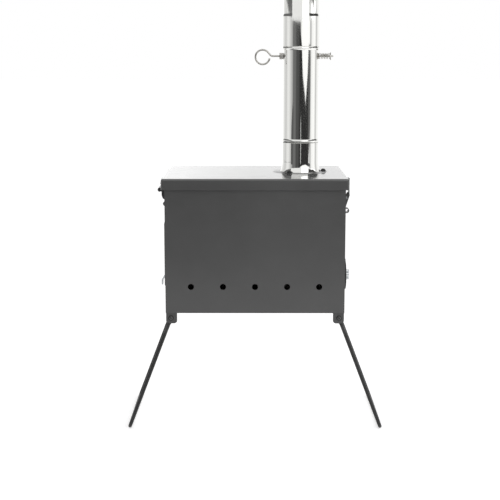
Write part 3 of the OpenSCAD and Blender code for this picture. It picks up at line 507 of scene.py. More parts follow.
def start_rod(place, heading, radius, sides=24):
    """Begins a rod as a filled disc across its heading; edit mode is left on with the disc selected."""
    bpy.ops.object.select_all(action="DESELECT")
    bpy.ops.mesh.primitive_circle_add(vertices=sides, radius=radius, fill_type="NGON", location=place,
                                      rotation=heading.to_track_quat("Z", "Y").to_euler())
    rod = settle(bpy.context.active_object)
    bpy.ops.object.mode_set(mode="EDIT")
    bpy.ops.mesh.select_mode(type="FACE")
    bpy.ops.mesh.select_all(action="SELECT")
    return rod


def run(place, heading, distance, steps=1):
    """Extrudes the rod's end straight on and returns its new place."""
    for _ in range(steps):
        bpy.ops.mesh.extrude_region_move(
            TRANSFORM_OT_translate={"value": tuple(heading * (distance / steps))})
    return place + heading * distance


def bend(place, heading, axis, radius, angle, steps=12):
    """Spins the rod's end round a bend and returns its new place and heading."""
    centre = place + axis.cross(heading).normalized() * radius
    bpy.ops.mesh.spin(steps=steps, angle=-angle, center=centre, axis=axis)   # spin turns clockwise
    turn = Matrix.Rotation(angle, 3, axis)
    return centre + turn @ (place - centre), turn @ heading


def dome(place, heading, radius, rise, shank, shank_radius):
    """A domed rivet or screw head with its shank, its face looking along heading."""
    ball = (radius ** 2 + rise ** 2) / (2 * rise)
    bpy.ops.object.select_all(action="DESELECT")
    bpy.ops.mesh.primitive_uv_sphere_add(segments=32, ring_count=48, radius=ball,
                                         location=(0, 0, rise - ball))
    head = settle(bpy.context.active_object)
    bpy.ops.object.mode_set(mode="EDIT")
    bpy.ops.mesh.select_all(action="SELECT")
    bpy.ops.mesh.bisect(plane_co=(0, 0, 0), plane_no=(0, 0, 1), use_fill=True, clear_inner=True,
                        threshold=1e-6)
    leave()
    pick(head, "FACE", lambda middle, normal: near(middle.z, 0) and normal.z < -0.9)
    bpy.ops.mesh.inset(thickness=radius - shank_radius)
    bpy.ops.mesh.extrude_region_move(TRANSFORM_OT_translate={"value": (0, 0, -shank)})
    leave()
    head.rotation_mode = "QUATERNION"
    head.rotation_quaternion = Vector(heading).to_track_quat("Z", "Y")
    head.location = place
    return outwards(settle(head))


# ---------------------------------------------------------------- firebox


def side_sheet(node, side):
    """One side panel: a sheet with its top edge folded in over the firebox and a row of air holes."""
    low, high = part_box(node)
    outer = low.y if side < 0 else high.y
    middle = Vector(((low.x + high.x) / 2, outer, (low.z + high.z) / 2))
    bpy.ops.object.select_all(action="DESELECT")
    bpy.ops.mesh.primitive_plane_add(size=1, location=middle, rotation=(-side * math.pi / 2, 0, 0))
    sheet = bpy.context.active_object
    sheet.scale = (high.x - low.x, high.z - low.z, 1)
    settle(sheet)
    pick(sheet, "EDGE", lambda a, b: near(a.z, high.z) and near(b.z, high.z))
    bpy.ops.mesh.extrude_region_move(TRANSFORM_OT_translate={"value": (0, -side * sizes().rim, 0)})
    leave()
    pick(sheet, "EDGE", lambda a, b: near(a.z, high.z) and near(b.z, high.z)
         and near(a.y, outer) and near(b.y, outer))
    bpy.ops.mesh.bevel(offset=sizes().fold, segments=4)
    leave()
    use_modifier(sheet, "SOLIDIFY", thickness=sizes().sheet, offset=-1)
    stud_low, stud_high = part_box("vent_stud")
    air_z = (stud_low.z + stud_high.z) / 2               # the holes stand at the air vent's height
    for i in range(sizes().holes):
        x = (i - (sizes().holes - 1) / 2) * sizes().hole_pitch
        drill(sheet, (x, outer, air_z), (0, 1, 0), sizes().hole / 2, 6 * sizes().sheet)
    return outwards(break_edges(sheet, sizes().break_edge))


class STOVE_OT_side_panels(Operator):
    """Fold the two side panels and drill their air holes"""

    bl_idname = "stove.side_panels"
    bl_label = "Side panels"

    def execute(self, context):
        for row, side in (("front", -1), ("back", 1)):
            node = f"side_panel_{row}"
            hand_over(side_sheet(node, side), f"{row}_sheet", "firebox", "black_steel", node)
        return {"FINISHED"}


class STOVE_OT_end_panels(Operator):
    """Trim the end panels, the floor pan, the grate and its ledges"""

    bl_idname = "stove.end_panels"
    bl_label = "End panels, floor and grate"

    def execute(self, context):
        trimmed("door_end_sheet", "end_panel_door", "firebox", "black_steel")
        trimmed("vent_end_sheet", "end_panel_vent", "firebox", "black_steel")
        trimmed("floor_pan", "base_pan", "firebox", "black_steel")
        trimmed("fire_grate", "grate", "firebox", "grate_steel", 0.4)
        trimmed("front_ledge", "grate_ledge_front", "firebox", "grate_steel")
        trimmed("back_ledge", "grate_ledge_back", "firebox", "grate_steel")
        return {"FINISHED"}


# ---------------------------------------------------------------- legs


def leg_rod():
    """A leg frame hanging straight down from the origin, its rod bent in the YZ plane."""
    rod_radius = sizes().rod / 2
    low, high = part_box("leg_frame_left")
    foot_place = Vector((low.x + rod_radius, 0, rod_radius))
    drop = (foot_place - joint_place("leg_left_fold")).length
    crank_in, reach = 8.55 * MM, 5.4 * MM                # the crank's step, and the rod's end over its pivot
    crank_from, crank_to = 14 * MM, 30 * MM              # where the crank begins and ends below the pivot
    pad_y = high.y - rod_radius                          # middle of the flattened end
    rod_y = pad_y - crank_in                             # the rod's own line after its crank
    crank, foot = sizes().crank_bend, sizes().foot_bend
    slope = math.atan2(crank_in, crank_to - crank_from)
    ease = crank * math.tan(slope / 2)                   # what a bend of the crank takes from a straight
    slant = math.hypot(crank_in, crank_to - crank_from) - 2 * ease
    shin = drop - crank_to - ease - foot
    top, quarter = reach + crank_from - ease, math.pi / 2
    # each straight and the bend after it: length, cuts, bend's radius, turn, bend's steps
    route = [(top, 24, crank, slope, 6), (slant, 4, crank, -slope, 6), (shin, 8, foot, quarter, 12),
             (2 * (rod_y - foot), 8, foot, quarter, 12), (shin, 8, crank, -slope, 6),
             (slant, 4, crank, slope, 6)]

    across = Vector((1, 0, 0))
    place, heading = Vector((0, -pad_y, reach)), Vector((0, 0, -1))
    rod = start_rod(place, heading, rod_radius)
    for distance, cuts, radius, turn, steps in route:
        place = run(place, heading, distance, cuts)
        place, heading = bend(place, heading, math.copysign(1, turn) * across, radius, abs(turn), steps)
    run(place, heading, top, 24)
    leave()
    flatten_eyes(rod, pad_y, rod_radius)
    pivot_hole, bit_length = 2.55 * MM, 12 * MM
    for side in (-1, 1):
        drill(rod, (0, side * pad_y, 0), (0, 1, 0), pivot_hole, bit_length, 32)
    return outwards(rod)


def flatten_eyes(rod, pad_y, rod_radius):
    """Squeezes the rod's two upper ends into flat round eyes."""
    eye, half_thick = 5.5 * MM, 1.5 * MM
    flat_to, neck = 3 * MM, 13 * MM                      # end of the flat and start of the round rod
    for vertex in rod.data.vertices:
        above = vertex.co.z
        if above < -neck:
            continue
        blend = min(max((-above - flat_to) / (neck - flat_to), 0), 1)
        blend = blend * blend * (3 - 2 * blend)
        wide = math.sqrt(max(eye ** 2 - max(above, 0) ** 2, 0)) * (1 - blend) + rod_radius * blend
        thick = half_thick * (1 - blend) + rod_radius * blend
        side = 1 if vertex.co.y > 0 else -1
        vertex.co.x *= wide / rod_radius
        vertex.co.y = side * pad_y + (vertex.co.y - side * pad_y) * thick / rod_radius


class STOVE_OT_legs(Operator):
    """Bend the two leg frames and set them at their splay"""

    bl_idname = "stove.legs"
    bl_label = "Leg frames"

    def execute(self, context):
        pattern = leg_rod()
        for node, body, joint in (("leg_frame_left", "leg_left", "leg_left_fold"),
                                  ("leg_frame_right", "leg_right", "leg_right_fold")):
            pivot = joint_place(joint)
            low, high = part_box(node)
            end = -1 if pivot.x < 0 else 1
            foot_x = (low.x if end < 0 else high.x) - end * sizes().rod / 2
            splay = math.atan2(abs(foot_x - pivot.x), pivot.z - sizes().rod / 2)
            leg = pattern.copy()
            leg.data = pattern.data.copy()
            context.collection.objects.link(leg)
            leg.rotation_euler = (0, -end * splay, 0)
            leg.location = pivot
            hand_over(settle(leg), node + "_rod", body, "leg_rod", node, smooth=50, flat=False)
        take(pattern)
        bpy.ops.object.delete()
        return {"FINISHED"}


class STOVE_OT_leg_brackets(Operator):
    """Trim the four leg brackets and set their pivot rivets"""

    bl_idname = "stove.leg_brackets"
    bl_label = "Leg brackets and rivets"

    def execute(self, context):
        for row in ("front", "back"):
            for end in ("left", "right"):
                trimmed(f"bracket_{row}_{end}", f"leg_bracket_{row}_{end}", "firebox", "black_fittings", 0.4)
        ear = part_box("leg_bracket_back_left")[1].y
        pivots = [joint_place(joint) for joint in ("leg_left_fold", "leg_right_fold")]
        rivets = [pivot_rivet(Vector((pivot.x, side * ear, pivot.z)), side)
                  for pivot in pivots for side in (-1, 1)]
        heads = hand_over(join(rivets), "leg_pivot_rivets", "firebox", "black_fittings", "leg_rivets")
        # The rivets' centres and outer rings take the near-black oxide finish: painted shade in the dimple
        # and a painted shadow round the head.
        centre, ring_from, ring_to = 0.9 * MM, 3.1 * MM, 4.5 * MM

        def dark(middle, normal):
            """Whether a face lies in a rivet's centre or on its outer ring, where the near-black finish
            paints shade.
            """
            reach = min(math.hypot(middle.x - pivot.x, middle.z - pivot.z) for pivot in pivots)
            return reach < centre or ring_from < reach < ring_to

        second_finish(heads, finish_of("black_screws"), dark)
        return {"FINISHED"}


def pivot_rivet(place, side):
    """A pivot rivet: a flat ring head, a dome with a dimple in it and a washer inside."""
    ring, ring_top, dome_radius, dimple = 4.4 * MM, 0.75 * MM, 3.2 * MM, 1.9 * MM
    shank, washer, grip = 2.5 * MM, 4 * MM, 5.6 * MM
    end, soft, pole = grip + 1.2 * MM, 0.1 * MM, 0.05 * MM     # the outline keeps just off the axis
    outline = [(pole, dimple), (0.8 * MM, dimple), (1.0 * MM, 2.35 * MM), (1.6 * MM, 2.3 * MM),
               (2.4 * MM, 1.8 * MM), (dome_radius, 0.95 * MM), (dome_radius + soft, ring_top),
               (ring - 2 * soft, ring_top), (ring, ring_top - 2 * soft), (ring, 0), (shank, 0),
               (shank, -grip), (washer, -grip), (washer, soft - end), (washer - 3 * soft, -end), (pole, -end)]
    rivet = turned(Vector((0, 0, 0)), outline, 32)
    rivet.rotation_euler = (-side * math.pi / 2, 0, 0)
    rivet.location = place
    return settle(rivet)


# ---------------------------------------------------------------- lid


class STOVE_OT_lid(Operator):
    """Press the lid from one sheet, with rounded corners and a bent skirt"""

    bl_idname = "stove.lid"
    bl_label = "Lid"

    def execute(self, context):
        low, high = LID_LOW, LID_HIGH
        bpy.ops.object.select_all(action="DESELECT")
        bpy.ops.mesh.primitive_cube_add(size=1, location=(low + high) / 2)
        lid = bpy.context.active_object
        lid.scale = high - low
        settle(lid)
        pick(lid, "FACE", lambda middle, normal: normal.z < -0.9)
        bpy.ops.mesh.delete(type="ONLY_FACE")
        leave()
        pick(lid, "EDGE", lambda a, b: not near(a.z, b.z))
        bpy.ops.mesh.bevel(offset=sizes().lid_corner, segments=8)
        leave()
        pick(lid, "EDGE", lambda a, b: near(a.z, high.z) and near(b.z, high.z))
        bpy.ops.mesh.bevel(offset=sizes().lid_bend, segments=5)
        leave()
        use_modifier(lid, "SOLIDIFY", thickness=sizes().sheet, offset=-1, use_even_offset=True)
        drill(lid, (FLUE.x, FLUE.y, high.z), (0, 0, 1), sizes().flue / 2, 6 * sizes().sheet, 96)
        break_edges(lid, sizes().break_edge, angle=50)
        hand_over(outwards(lid), "lid_pressing", "lid_assembly", "black_steel", "lid")
        second_finish(lid, levelled_film("levelled paint on the lid", 0.1),
                      lambda middle, normal: normal.z > 0.2)
        return {"FINISHED"}


class STOVE_OT_lid_hinges(Operator):
    """Trim the leaves of the lid's hinges, and set their pins and rivets"""

    bl_idname = "stove.lid_hinges"
    bl_label = "Lid hinges"

    def execute(self, context):
        for row in ("front", "back"):
            trimmed(f"lid_leaf_{row}", f"lid_hinge_leaf_{row}", "lid_assembly", "black_fittings", 0.35)
            trimmed(f"body_leaf_{row}", f"body_hinge_leaf_{row}", "firebox", "black_fittings", 0.35)
        trimmed("hinge_pins", "lid_hinge_pins", "firebox", "black_fittings", 0.4)
        leaf, hinge_y, pitch = 1.5 * MM, 66 * MM, 12 * MM
        head, shank, shank_radius = 3.6 * MM, 2.7 * MM, 1.6 * MM
        skirt, wall = LID_LOW.x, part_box("end_panel_door")[0].x
        for leaf_name, body, face, rise in (("lid", "lid_assembly", skirt, 1.4 * MM),
                                            ("body", "firebox", wall, 3.2 * MM)):
            node = f"{leaf_name}_hinge_rivets"
            low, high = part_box(node)
            places = [Vector((face - leaf, side * hinge_y + step * pitch, (low.z + high.z) / 2))
                      for side in (-1, 1) for step in (-1, 1)]
            rivets = [dome(place, (-1, 0, 0), head, rise, shank, shank_radius) for place in places]
            hand_over(join(rivets), f"{leaf_name}_leaf_rivets", body, "black_fittings", node)
        return {"FINISHED"}


# ---------------------------------------------------------------- flue


class STOVE_OT_flue_collar(Operator):
    """Turn the stub collar with its flared foot and set its three screws"""

    bl_idname = "stove.flue_collar"
    bl_label = "Flue collar"

    def execute(self, context):
        foot_z, top_z = COLLAR_LOW.z, COLLAR_HIGH.z
        flange, tube, wall = (COLLAR_HIGH.x - COLLAR_LOW.x) / 2, sizes().socket / 2, sizes().flue_wall
        flare, flare_height, flange_t, tip, steps = 3 * MM, 16 * MM, 1 * MM, 0.2 * MM, 14
        outer = [(tube + flare * (1 - i / steps) ** 2, foot_z + flange_t + flare_height * i / steps)
                 for i in range(steps + 1)]
        inner = [(radius - wall, height) for radius, height in reversed(outer)]
        outline = ([(tube - wall, foot_z), (flange - tip, foot_z), (flange, foot_z + tip / 2),
                    (flange - tip, foot_z + tip)]
                   + outer + [(tube, top_z - tip), (tube - tip, top_z), (tube - wall, top_z)] + inner)
        collar = turned(FLUE, outline)
        hand_over(collar, "collar_shell", "lid_assembly", "flue_steel", "flue_collar", smooth=28, flat=False)
        second_finish(collar, levelled_film("levelled paint on the flange", 0.28),
                      lambda middle, normal: middle.z < foot_z + flange_t
                      and math.hypot(middle.x - FLUE.x, middle.y - FLUE.y) > tube + flare)
        circle, head, rise, shank, shank_radius = 39 * MM, 4.8 * MM, 4.4 * MM, 6.6 * MM, 2 * MM
        seat = FLUE + Vector((0, 0, foot_z + flange_t / 2))
        screws = [dome(seat + circle * Vector((math.cos(turn), math.sin(turn), 0)), (0, 0, 1),
                       head, rise, shank, shank_radius)
                  for turn in [math.radians(120 * i) for i in range(3)]]
        hand_over(join(screws), "collar_screw_heads", "lid_assembly", "black_screws", "collar_screws")
        trimmed("collar_hex_nuts", "collar_nuts", "lid_assembly", "plated_steel", 0.25)
        return {"FINISHED"}


class STOVE_OT_flue_pipes(Operator):
    """Roll the damper pipe and the section above it, with their beads"""

    bl_idname = "stove.flue_pipes"
    bl_label = "Flue pipes"

    def execute(self, context):
        pipe, wall, socket = sizes().flue / 2, sizes().flue_wall, sizes().socket / 2
        low_bead = COLLAR_HIGH.z + sizes().bead_height / 2
        high_bead = UPPER_LOW.z - sizes().bead_height / 2
        tip, fit, bit_length = 0.15 * MM, 0.05 * MM, 80 * MM

        def pipe_from(outer):
            """The pipe whose outside follows this outline, its inside one wall further in."""
            return turned(FLUE, outer + [(radius - wall, height) for radius, height in reversed(outer)])

        lower = pipe_from([(pipe - tip, PIPE_LOW.z), (pipe, PIPE_LOW.z + tip)]
                          + bead(pipe, low_bead) + bead(pipe, high_bead)
                          + [(pipe, PIPE_HIGH.z - tip), (pipe - tip, PIPE_HIGH.z)])
        drill(lower, (FLUE.x, FLUE.y, DAMPER_Z), (1, 0, 0), sizes().wire / 2 + fit, bit_length, 24)
        hand_over(lower, "damper_pipe_shell", "lower_flue", "flue_steel", "damper_pipe",
                  smooth=28, flat=False)

        neck = UPPER_LOW.z + 50 * MM                     # where the widened foot ends
        top_bead = UPPER_HIGH.z - 49 * MM
        taper, ease, soft = 2.6 * MM, 1 * MM, 0.1 * MM
        upper = pipe_from([(socket - tip, UPPER_LOW.z), (socket, UPPER_LOW.z + tip), (socket, neck - ease),
                           (socket - soft, neck), (pipe + soft, neck + taper), (pipe, neck + taper + ease)]
                          + bead(pipe, top_bead)
                          + [(pipe, UPPER_HIGH.z - tip), (pipe - tip, UPPER_HIGH.z)])
        hand_over(upper, "upper_pipe_shell", "upper_flue", "flue_steel", "upper_pipe",
                  smooth=28, flat=False)
        return {"FINISHED"}


# ---------------------------------------------------------------- damper


class STOVE_OT_damper(Operator):
    """Bend the damper's shaft with its finger ring, and make its plate, nut, washers and split pin"""

    bl_idname = "stove.damper"
    bl_label = "Damper"

    def execute(self, context):
        radius, ring = sizes().wire / 2, sizes().ring
        towards = Vector((0, -1, 0))                     # a bend about it runs anticlockwise, seen in front
        tip, leave_at = math.radians(350), math.radians(40)  # where the wire begins on the ring and leaves it
        turn = math.pi / 2 - leave_at
        drop = radius + 0.2 * MM                         # the ring's middle lies this far below the shaft
        middle = Vector((SHAFT_LOW.x + ring + radius, FLUE.y, DAMPER_Z - drop))
        place = middle + ring * Vector((math.cos(tip), 0, math.sin(tip)))
        heading = Vector((math.sin(tip), 0, -math.cos(tip)))
        shaft = start_rod(place, heading, radius, 20)
        place, heading = bend(place, heading, -towards, ring, tip - leave_at, 56)
        elbow = 2 * sizes().wire
        fall = place.z - DAMPER_Z - elbow * (1 - math.cos(turn))
        place = run(place, heading, fall / math.sin(turn))
        place, heading = bend(place, heading, towards, elbow, turn, 8)
        run(place, heading, SHAFT_HIGH.x - place.x, 4)
        leave()
        outwards(shaft)
        break_edges(shaft, 0.25 * MM, angle=60)
        hand_over(shaft, "damper_wire", "damper", "damper_steel", "damper_shaft", smooth=50, flat=False)
        trimmed("damper_disc", "damper_plate", "damper", "damper_steel", 0.25)
        trimmed("damper_hex_nut", "damper_stop_nut", "damper", "damper_steel", 0.4)
        trimmed("damper_flat_washers", "damper_washers", "damper", "damper_steel", 0.2)
        trimmed("damper_split_pin", "damper_cotter", "damper", "damper_steel", 0)
        return {"FINISHED"}


class STOVE_OT_damper_spring(Operator):
    """Wind the damper's spring from round wire"""

    bl_idname = "stove.damper_spring"
    bl_label = "Damper spring"

    def execute(self, context):
        wire = sizes().spring_wire
        low, high = SPRING_LOW, SPRING_HIGH
        mean = (high.z - low.z) / 2 - wire / 2
        run_length = (high.x - low.x) - 2 * wire
        bpy.ops.object.select_all(action="DESELECT")
        bpy.ops.mesh.primitive_circle_add(vertices=12, radius=wire / 2,
                                          location=(low.x + wire, FLUE.y, DAMPER_Z + mean),
                                          rotation=(math.pi / 2, 0, 0))
        spring = settle(bpy.context.active_object)
        axis = Vector((0, FLUE.y, DAMPER_Z))
        spring.data.transform(Matrix.Translation(-axis))
        spring.location = axis                           # the screw winds about the piece's own origin
        use_modifier(spring, "SCREW", axis="X", angle=2 * math.pi, iterations=sizes().curls,
                     screw_offset=run_length / sizes().curls, steps=32, render_steps=32,
                     use_normal_calculate=True)
        settle(spring)
        bpy.ops.object.mode_set(mode="EDIT")
        bpy.ops.mesh.select_mode(type="EDGE")
        bpy.ops.mesh.select_all(action="DESELECT")
        bpy.ops.mesh.select_non_manifold()
        bpy.ops.mesh.edge_face_add()
        leave()
        hand_over(outwards(spring), "damper_coil", "damper", "damper_steel", "damper_spring",
                  smooth=50, flat=False)
        return {"FINISHED"}


# ---------------------------------------------------------------- ends


class STOVE_OT_door(Operator):
    """Trim the loading door, its hinge and its latch"""

    bl_idname = "stove.door"
    bl_label = "Door and latch"

    def execute(self, context):
        trimmed("door_sheet", "door", "door_panel", "black_steel", 0.4)
        trimmed("door_knuckle_upper", "door_hinge_upper", "firebox", "black_fittings", 0.3)
        trimmed("door_knuckle_lower", "door_hinge_lower", "firebox", "black_fittings", 0.3)
        trimmed("door_pin", "door_hinge_pin", "firebox", "plated_steel", 0.25)
        trimmed("door_rivets", "door_hinge_rivets", "firebox", "black_fittings", 0)
        trimmed("latch_handle", "latch_lever", "door_latch", "plated_steel", 0.5, 3)
        trimmed("latch_bar", "latch_tongue", "door_latch", "damper_steel", 0.3)
        trimmed("latch_hex_nut", "latch_nut", "door_latch", "plated_steel", 0.3)
        return {"FINISHED"}


class STOVE_OT_air_vent(Operator):
    """Trim the air vent's drum, disc, stud and wing nut"""

    bl_idname = "stove.air_vent"
    bl_label = "Air vent"

    def execute(self, context):
        trimmed("vent_drum", "vent_drum_cap", "firebox", "black_steel", 0.5, 3)
        trimmed("vent_shutter", "vent_disc", "vent_regulator", "black_steel", 0.3)
        trimmed("vent_bolt", "vent_stud", "firebox", "plated_steel", 0.3)
        trimmed("vent_wings", "vent_wing_nut", "wing_nut", "plated_steel", 0.45, 3)
        return {"FINISHED"}


class STOVE_OT_lid_catch(Operator):
    """Trim the lid's catch, its bracket, pin, rivets and keeper"""

    bl_idname = "stove.lid_catch"
    bl_label = "Lid catch"

    def execute(self, context):
        trimmed("catch_lever", "lid_catch", "catch", "black_fittings", 0.35)
        trimmed("catch_plate", "catch_bracket", "firebox", "black_fittings", 0.25)
        trimmed("catch_axle", "catch_pin", "firebox", "plated_steel", 0.2)
        trimmed("catch_rivet_heads", "catch_rivets", "firebox", "black_fittings", 0)
        trimmed("catch_lip", "catch_keeper", "lid_assembly", "black_fittings", 0.25)
        return {"FINISHED"}


# ---------------------------------------------------------------- stage

# Azimuths are in degrees: 0 is in front of the stove, 90 at its right. Other sizes here are in metres.
WALL_RADIUS, SCREEN_RADIUS, WALL_HEIGHT = 1.5, 1.48, 0.84
LAMPS_AIM = Vector((0, 0, 0.35))
FAR_CLIP = 100

# Grey level of the wall by azimuth
WALL_LEVELS = [
    (-177, 1.15), (-172, 1.25), (-166, 1.45), (-152, 1.05), (-133, 0.92), (-120, 0.78), (-106, 0.74),
    (-98, 0.96), (-88, 1.02), (-78, 0.9), (-70, 0.72), (-63, 0.6), (-56, 0.42), (-51, 0.16), (-41, 0.2),
    (-34, 0.15), (-28, 0.08), (-21, 0.1), (-14, 0.07), (-8, 0.05), (-4, 0.6), (2, 1.25), (52, 1.25),
    (56, 0.6), (62, 0.55), (67, 1.1), (90, 1.25), (98, 1.1), (106, 0.6), (114, 0.9), (126, 1.15), (168, 1.12)]

# Dark screens inside the wall, which the pipe mirrors as its dark stripes: name, grey level, and the
# azimuth, foot and top of each column
SCREENS = (
    ("front_screen", 0.032,
     [(-8, 0, 0.79), (-4, 0, 0.74), (-2.3, 0, 0.72), (-2.2, 0.43, 0.72), (0.3, 0.43, 0.69), (0.4, 0, 0.69),
      (6, 0, 0.61), (10, 0, 0.56), (22, 0, 0.515), (27, 0, 0.48), (34, 0, 0.515), (40, 0, 0.56),
      (44, 0, 0.61), (46, 0, 0.65)]),
    ("edge_screen", 0.13, [(46, 0, 0.65), (50, 0.33, 0.66), (56, 0.36, 0.66), (60, 0.4, 0.6)]),
    ("left_screen", 0.12, [(-64, 0, 0.4), (-58, 0, 0.47), (-50, 0, 0.47)]),
    ("left_canopy", 0.16, [(-165, 0.85, 1.7), (-120, 0.85, 1.7), (-90, 0.85, 1.7), (-62, 0.85, 1.7)]),
    ("right_canopy", 0.06, [(50, 0.9, 1.7), (80, 0.86, 1.7), (130, 0.85, 1.7)]))


def background_seen(tree):
    """One for camera, mirror and see-through rays, nought for the rays that light the object."""
    path = add_node(tree, "ShaderNodeLightPath")
    seen = path.outputs["Is Camera Ray"]
    for other in ("Is Glossy Ray", "Is Transmission Ray"):
        largest = add_node(tree, "ShaderNodeMath", {"operation": "MAXIMUM"})
        tree.links.new(seen, largest.inputs[0])
        tree.links.new(path.outputs[other], largest.inputs[1])
        seen = largest.outputs["Value"]
    return seen


def empty_material(name):
    """A new material and its node tree, with no nodes in it yet."""
    material = bpy.data.materials.new(name)
    material.use_nodes = True
    material.node_tree.nodes.clear()
    return material, material.node_tree


def glow_of(tree, settings, links=None):
    """Ends a material in a plain glow."""
    light = add_node(tree, "ShaderNodeEmission", {"Strength": 1.0, **settings}, links)
    add_node(tree, "ShaderNodeOutputMaterial", links={"Surface": light.outputs["Emission"]})


def studio_world(ambient):
    """White wherever it is seen, and a plain level of light from all round."""
    world = bpy.data.worlds.new("white studio")
    bpy.context.scene.world = world
    world.use_nodes = True
    tree = world.node_tree
    tree.nodes.clear()
    light = add_node(tree, "ShaderNodeBackground", {"Color": (1, 1, 1, 1), "Strength": ambient})
    white = add_node(tree, "ShaderNodeBackground", {"Color": (1, 1, 1, 1), "Strength": 1.0})
    mix = add_node(tree, "ShaderNodeMixShader", links={"Fac": background_seen(tree)})
    tree.links.new(light.outputs["Background"], mix.inputs[1])
    tree.links.new(white.outputs["Background"], mix.inputs[2])
    add_node(tree, "ShaderNodeOutputWorld", links={"Surface": mix.outputs["Shader"]})


def studio_floor(glow):
    """A white floor that keeps the object's shadow."""
    bpy.ops.object.select_all(action="DESELECT")
    bpy.ops.mesh.primitive_plane_add(size=60, location=(0, 0, 0))
    floor = bpy.context.active_object
    floor.name = "studio_floor"
    material, tree = empty_material("white paper")
    paper = add_node(tree, "ShaderNodeBsdfDiffuse", {"Color": linear("#e8e8e8")})
    lift = add_node(tree, "ShaderNodeMath", {"operation": "MULTIPLY"})
    tree.links.new(background_seen(tree), lift.inputs[0])
    lift.inputs[1].default_value = glow
    light = add_node(tree, "ShaderNodeEmission", links={"Strength": lift.outputs["Value"]})
    total = add_node(tree, "ShaderNodeAddShader")
    tree.links.new(paper.outputs["BSDF"], total.inputs[0])
    tree.links.new(light.outputs["Emission"], total.inputs[1])
    add_node(tree, "ShaderNodeOutputMaterial", links={"Surface": total.outputs["Shader"]})
    floor.data.materials.append(material)


def mirrors_only(obj, shader, name):
    """Makes a stage piece that nothing but the polished steel sees."""
    obj.name = name
    obj.data.materials.append(shader)
    obj.visible_camera = obj.visible_diffuse = obj.visible_shadow = False


def studio_wall():
    """The room round the stove as the polished flue mirrors it."""
    bpy.ops.object.select_all(action="DESELECT")
    bpy.ops.mesh.primitive_cylinder_add(vertices=96, radius=WALL_RADIUS, depth=WALL_HEIGHT,
                                        end_fill_type="NOTHING", location=(FLUE.x, FLUE.y, WALL_HEIGHT / 2))
    cloth, tree = empty_material("studio wall cloth")
    place = add_node(tree, "ShaderNodeTexCoord")
    angle = add_node(tree, "ShaderNodeTexGradient", {"gradient_type": "RADIAL"},
                     {"Vector": place.outputs["Object"]})
    ramp = add_node(tree, "ShaderNodeValToRGB", links={"Fac": angle.outputs["Fac"]})
    in_front = 0.25                                      # what the radial gradient gives at azimuth 0
    stops = sorted(((azimuth / 360 + in_front) % 1, level) for azimuth, level in WALL_LEVELS)
    while len(ramp.color_ramp.elements) < len(stops):
        ramp.color_ramp.elements.new(0.5)
    for element, (position, level) in zip(ramp.color_ramp.elements, stops):
        element.position = position
        element.color = (level, level, level, 1)
    glow_of(tree, {}, {"Color": ramp.outputs["Color"]})
    mirrors_only(bpy.context.active_object, cloth, "studio_wall")


def screen(name, level, columns):
    """One dark screen, a row of upright strips whose feet and tops may slope."""
    count = len(columns)
    bpy.ops.object.select_all(action="DESELECT")
    bpy.ops.mesh.primitive_grid_add(x_subdivisions=count - 1, y_subdivisions=1)
    card = bpy.context.active_object
    for i, (azimuth, low, high) in enumerate(columns):
        turn = math.radians(azimuth)
        x, y = FLUE.x + SCREEN_RADIUS * math.sin(turn), FLUE.y - SCREEN_RADIUS * math.cos(turn)
        card.data.vertices[i].co = (x, y, low)
        card.data.vertices[count + i].co = (x, y, high)
    cloth, tree = empty_material(name + " cloth")
    glow_of(tree, {"Color": (level, level, level, 1)})
    mirrors_only(card, cloth, name)


def softbox(name, azimuth, distance, height, width, tall, brightness):
    """A large soft lamp that faces the stove."""
    turn = math.radians(azimuth)
    place = Vector((distance * math.sin(turn), -distance * math.cos(turn), height))
    aim = LAMPS_AIM - place
    bpy.ops.object.light_add(type="AREA", location=place,
                             rotation=aim.to_track_quat("-Z", "Y").to_euler())
    lamp = bpy.context.active_object
    lamp.name = name
    lamp.data.shape = "RECTANGLE"
    lamp.data.size, lamp.data.size_y = width, tall
    lamp.data.energy = brightness * math.pi * width * tall
    lamp.visible_camera = False
    return lamp


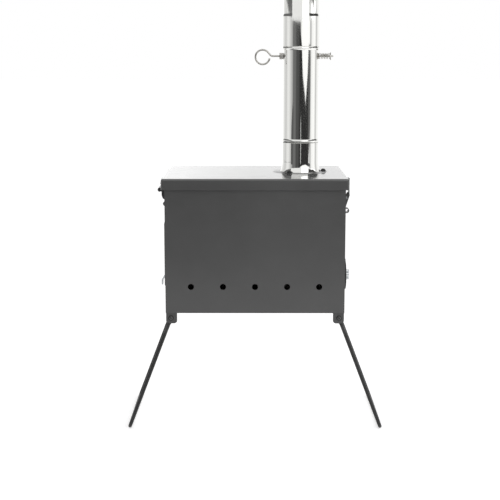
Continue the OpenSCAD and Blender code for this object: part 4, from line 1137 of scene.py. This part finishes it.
class STOVE_OT_stage(Operator):
    """Set up the floor, the white studio, the lamps and the camera"""

    bl_idname = "stove.stage"
    bl_label = "Stage"

    def execute(self, context):
        stage = context.scene.stove_stage
        studio_world(stage.ambient)
        studio_floor(stage.floor_glow)
        studio_wall()
        for name, level, columns in SCREENS:
            screen(name, level, columns)
        softbox("right_softbox", azimuth=27, distance=2.8, height=1.35, width=1.9, tall=1.8,
                brightness=stage.softbox)
        softbox("side_softbox", azimuth=82, distance=2.8, height=1.2, width=1.6, tall=2.0,
                brightness=stage.softbox)
        low_fill = softbox("low_fill", azimuth=48, distance=1.1, height=0.3, width=0.35, tall=0.5,
                           brightness=stage.fill)
        low_fill.visible_glossy = False                  # it lights the paint and stays out of the mirrors
        context.scene.view_settings.view_transform = "Standard"
        bpy.ops.object.camera_add(location=stage.eye,
                                  rotation=(math.pi / 2 - stage.pitch, 0, -stage.yaw))
        camera = bpy.context.active_object
        camera.data.lens = stage.lens
        camera.data.shift_y = stage.shift
        camera.data.clip_end = FAR_CLIP
        context.scene.camera = camera
        return {"FINISHED"}


# ---------------------------------------------------------------- sidebar and start


STEPS = (STOVE_OT_stage, STOVE_OT_side_panels, STOVE_OT_end_panels, STOVE_OT_legs, STOVE_OT_leg_brackets,
         STOVE_OT_lid, STOVE_OT_lid_hinges, STOVE_OT_flue_collar, STOVE_OT_flue_pipes, STOVE_OT_damper,
         STOVE_OT_damper_spring, STOVE_OT_door, STOVE_OT_air_vent, STOVE_OT_lid_catch)


class STOVE_PT_sidebar(Panel):
    """The stove's steps, sizes and colours"""

    bl_idname = "STOVE_PT_sidebar"
    bl_label = "Tent wood stove"
    bl_space_type = "VIEW_3D"
    bl_region_type = "UI"
    bl_category = "Stove"

    def draw(self, context):
        for step in STEPS:
            self.layout.operator(step.bl_idname)
        for group in (context.scene.stove_sizes, context.scene.stove_colours, context.scene.stove_stage):
            box = self.layout.box()
            for name in group.__annotations__:
                box.prop(group, name)


GROUPS = {"stove_sizes": StoveSizes, "stove_colours": StoveColours, "stove_stage": StoveStage}


def register():
    """Makes the classes and the scene's settings known."""
    for cls in (*GROUPS.values(), *STEPS, STOVE_PT_sidebar):
        bpy.utils.register_class(cls)
    for name, group in GROUPS.items():
        setattr(bpy.types.Scene, name, PointerProperty(type=group))


def unregister():
    """Takes them out again."""
    for name in GROUPS:
        delattr(bpy.types.Scene, name)
    for cls in reversed((*GROUPS.values(), *STEPS, STOVE_PT_sidebar)):
        bpy.utils.unregister_class(cls)


def main():
    """Builds every piece in order."""
    register()
    for step in STEPS:
        prefix, name = step.bl_idname.split(".")
        getattr(getattr(bpy.ops, prefix), name)()


if __name__ == "__main__":
    main()
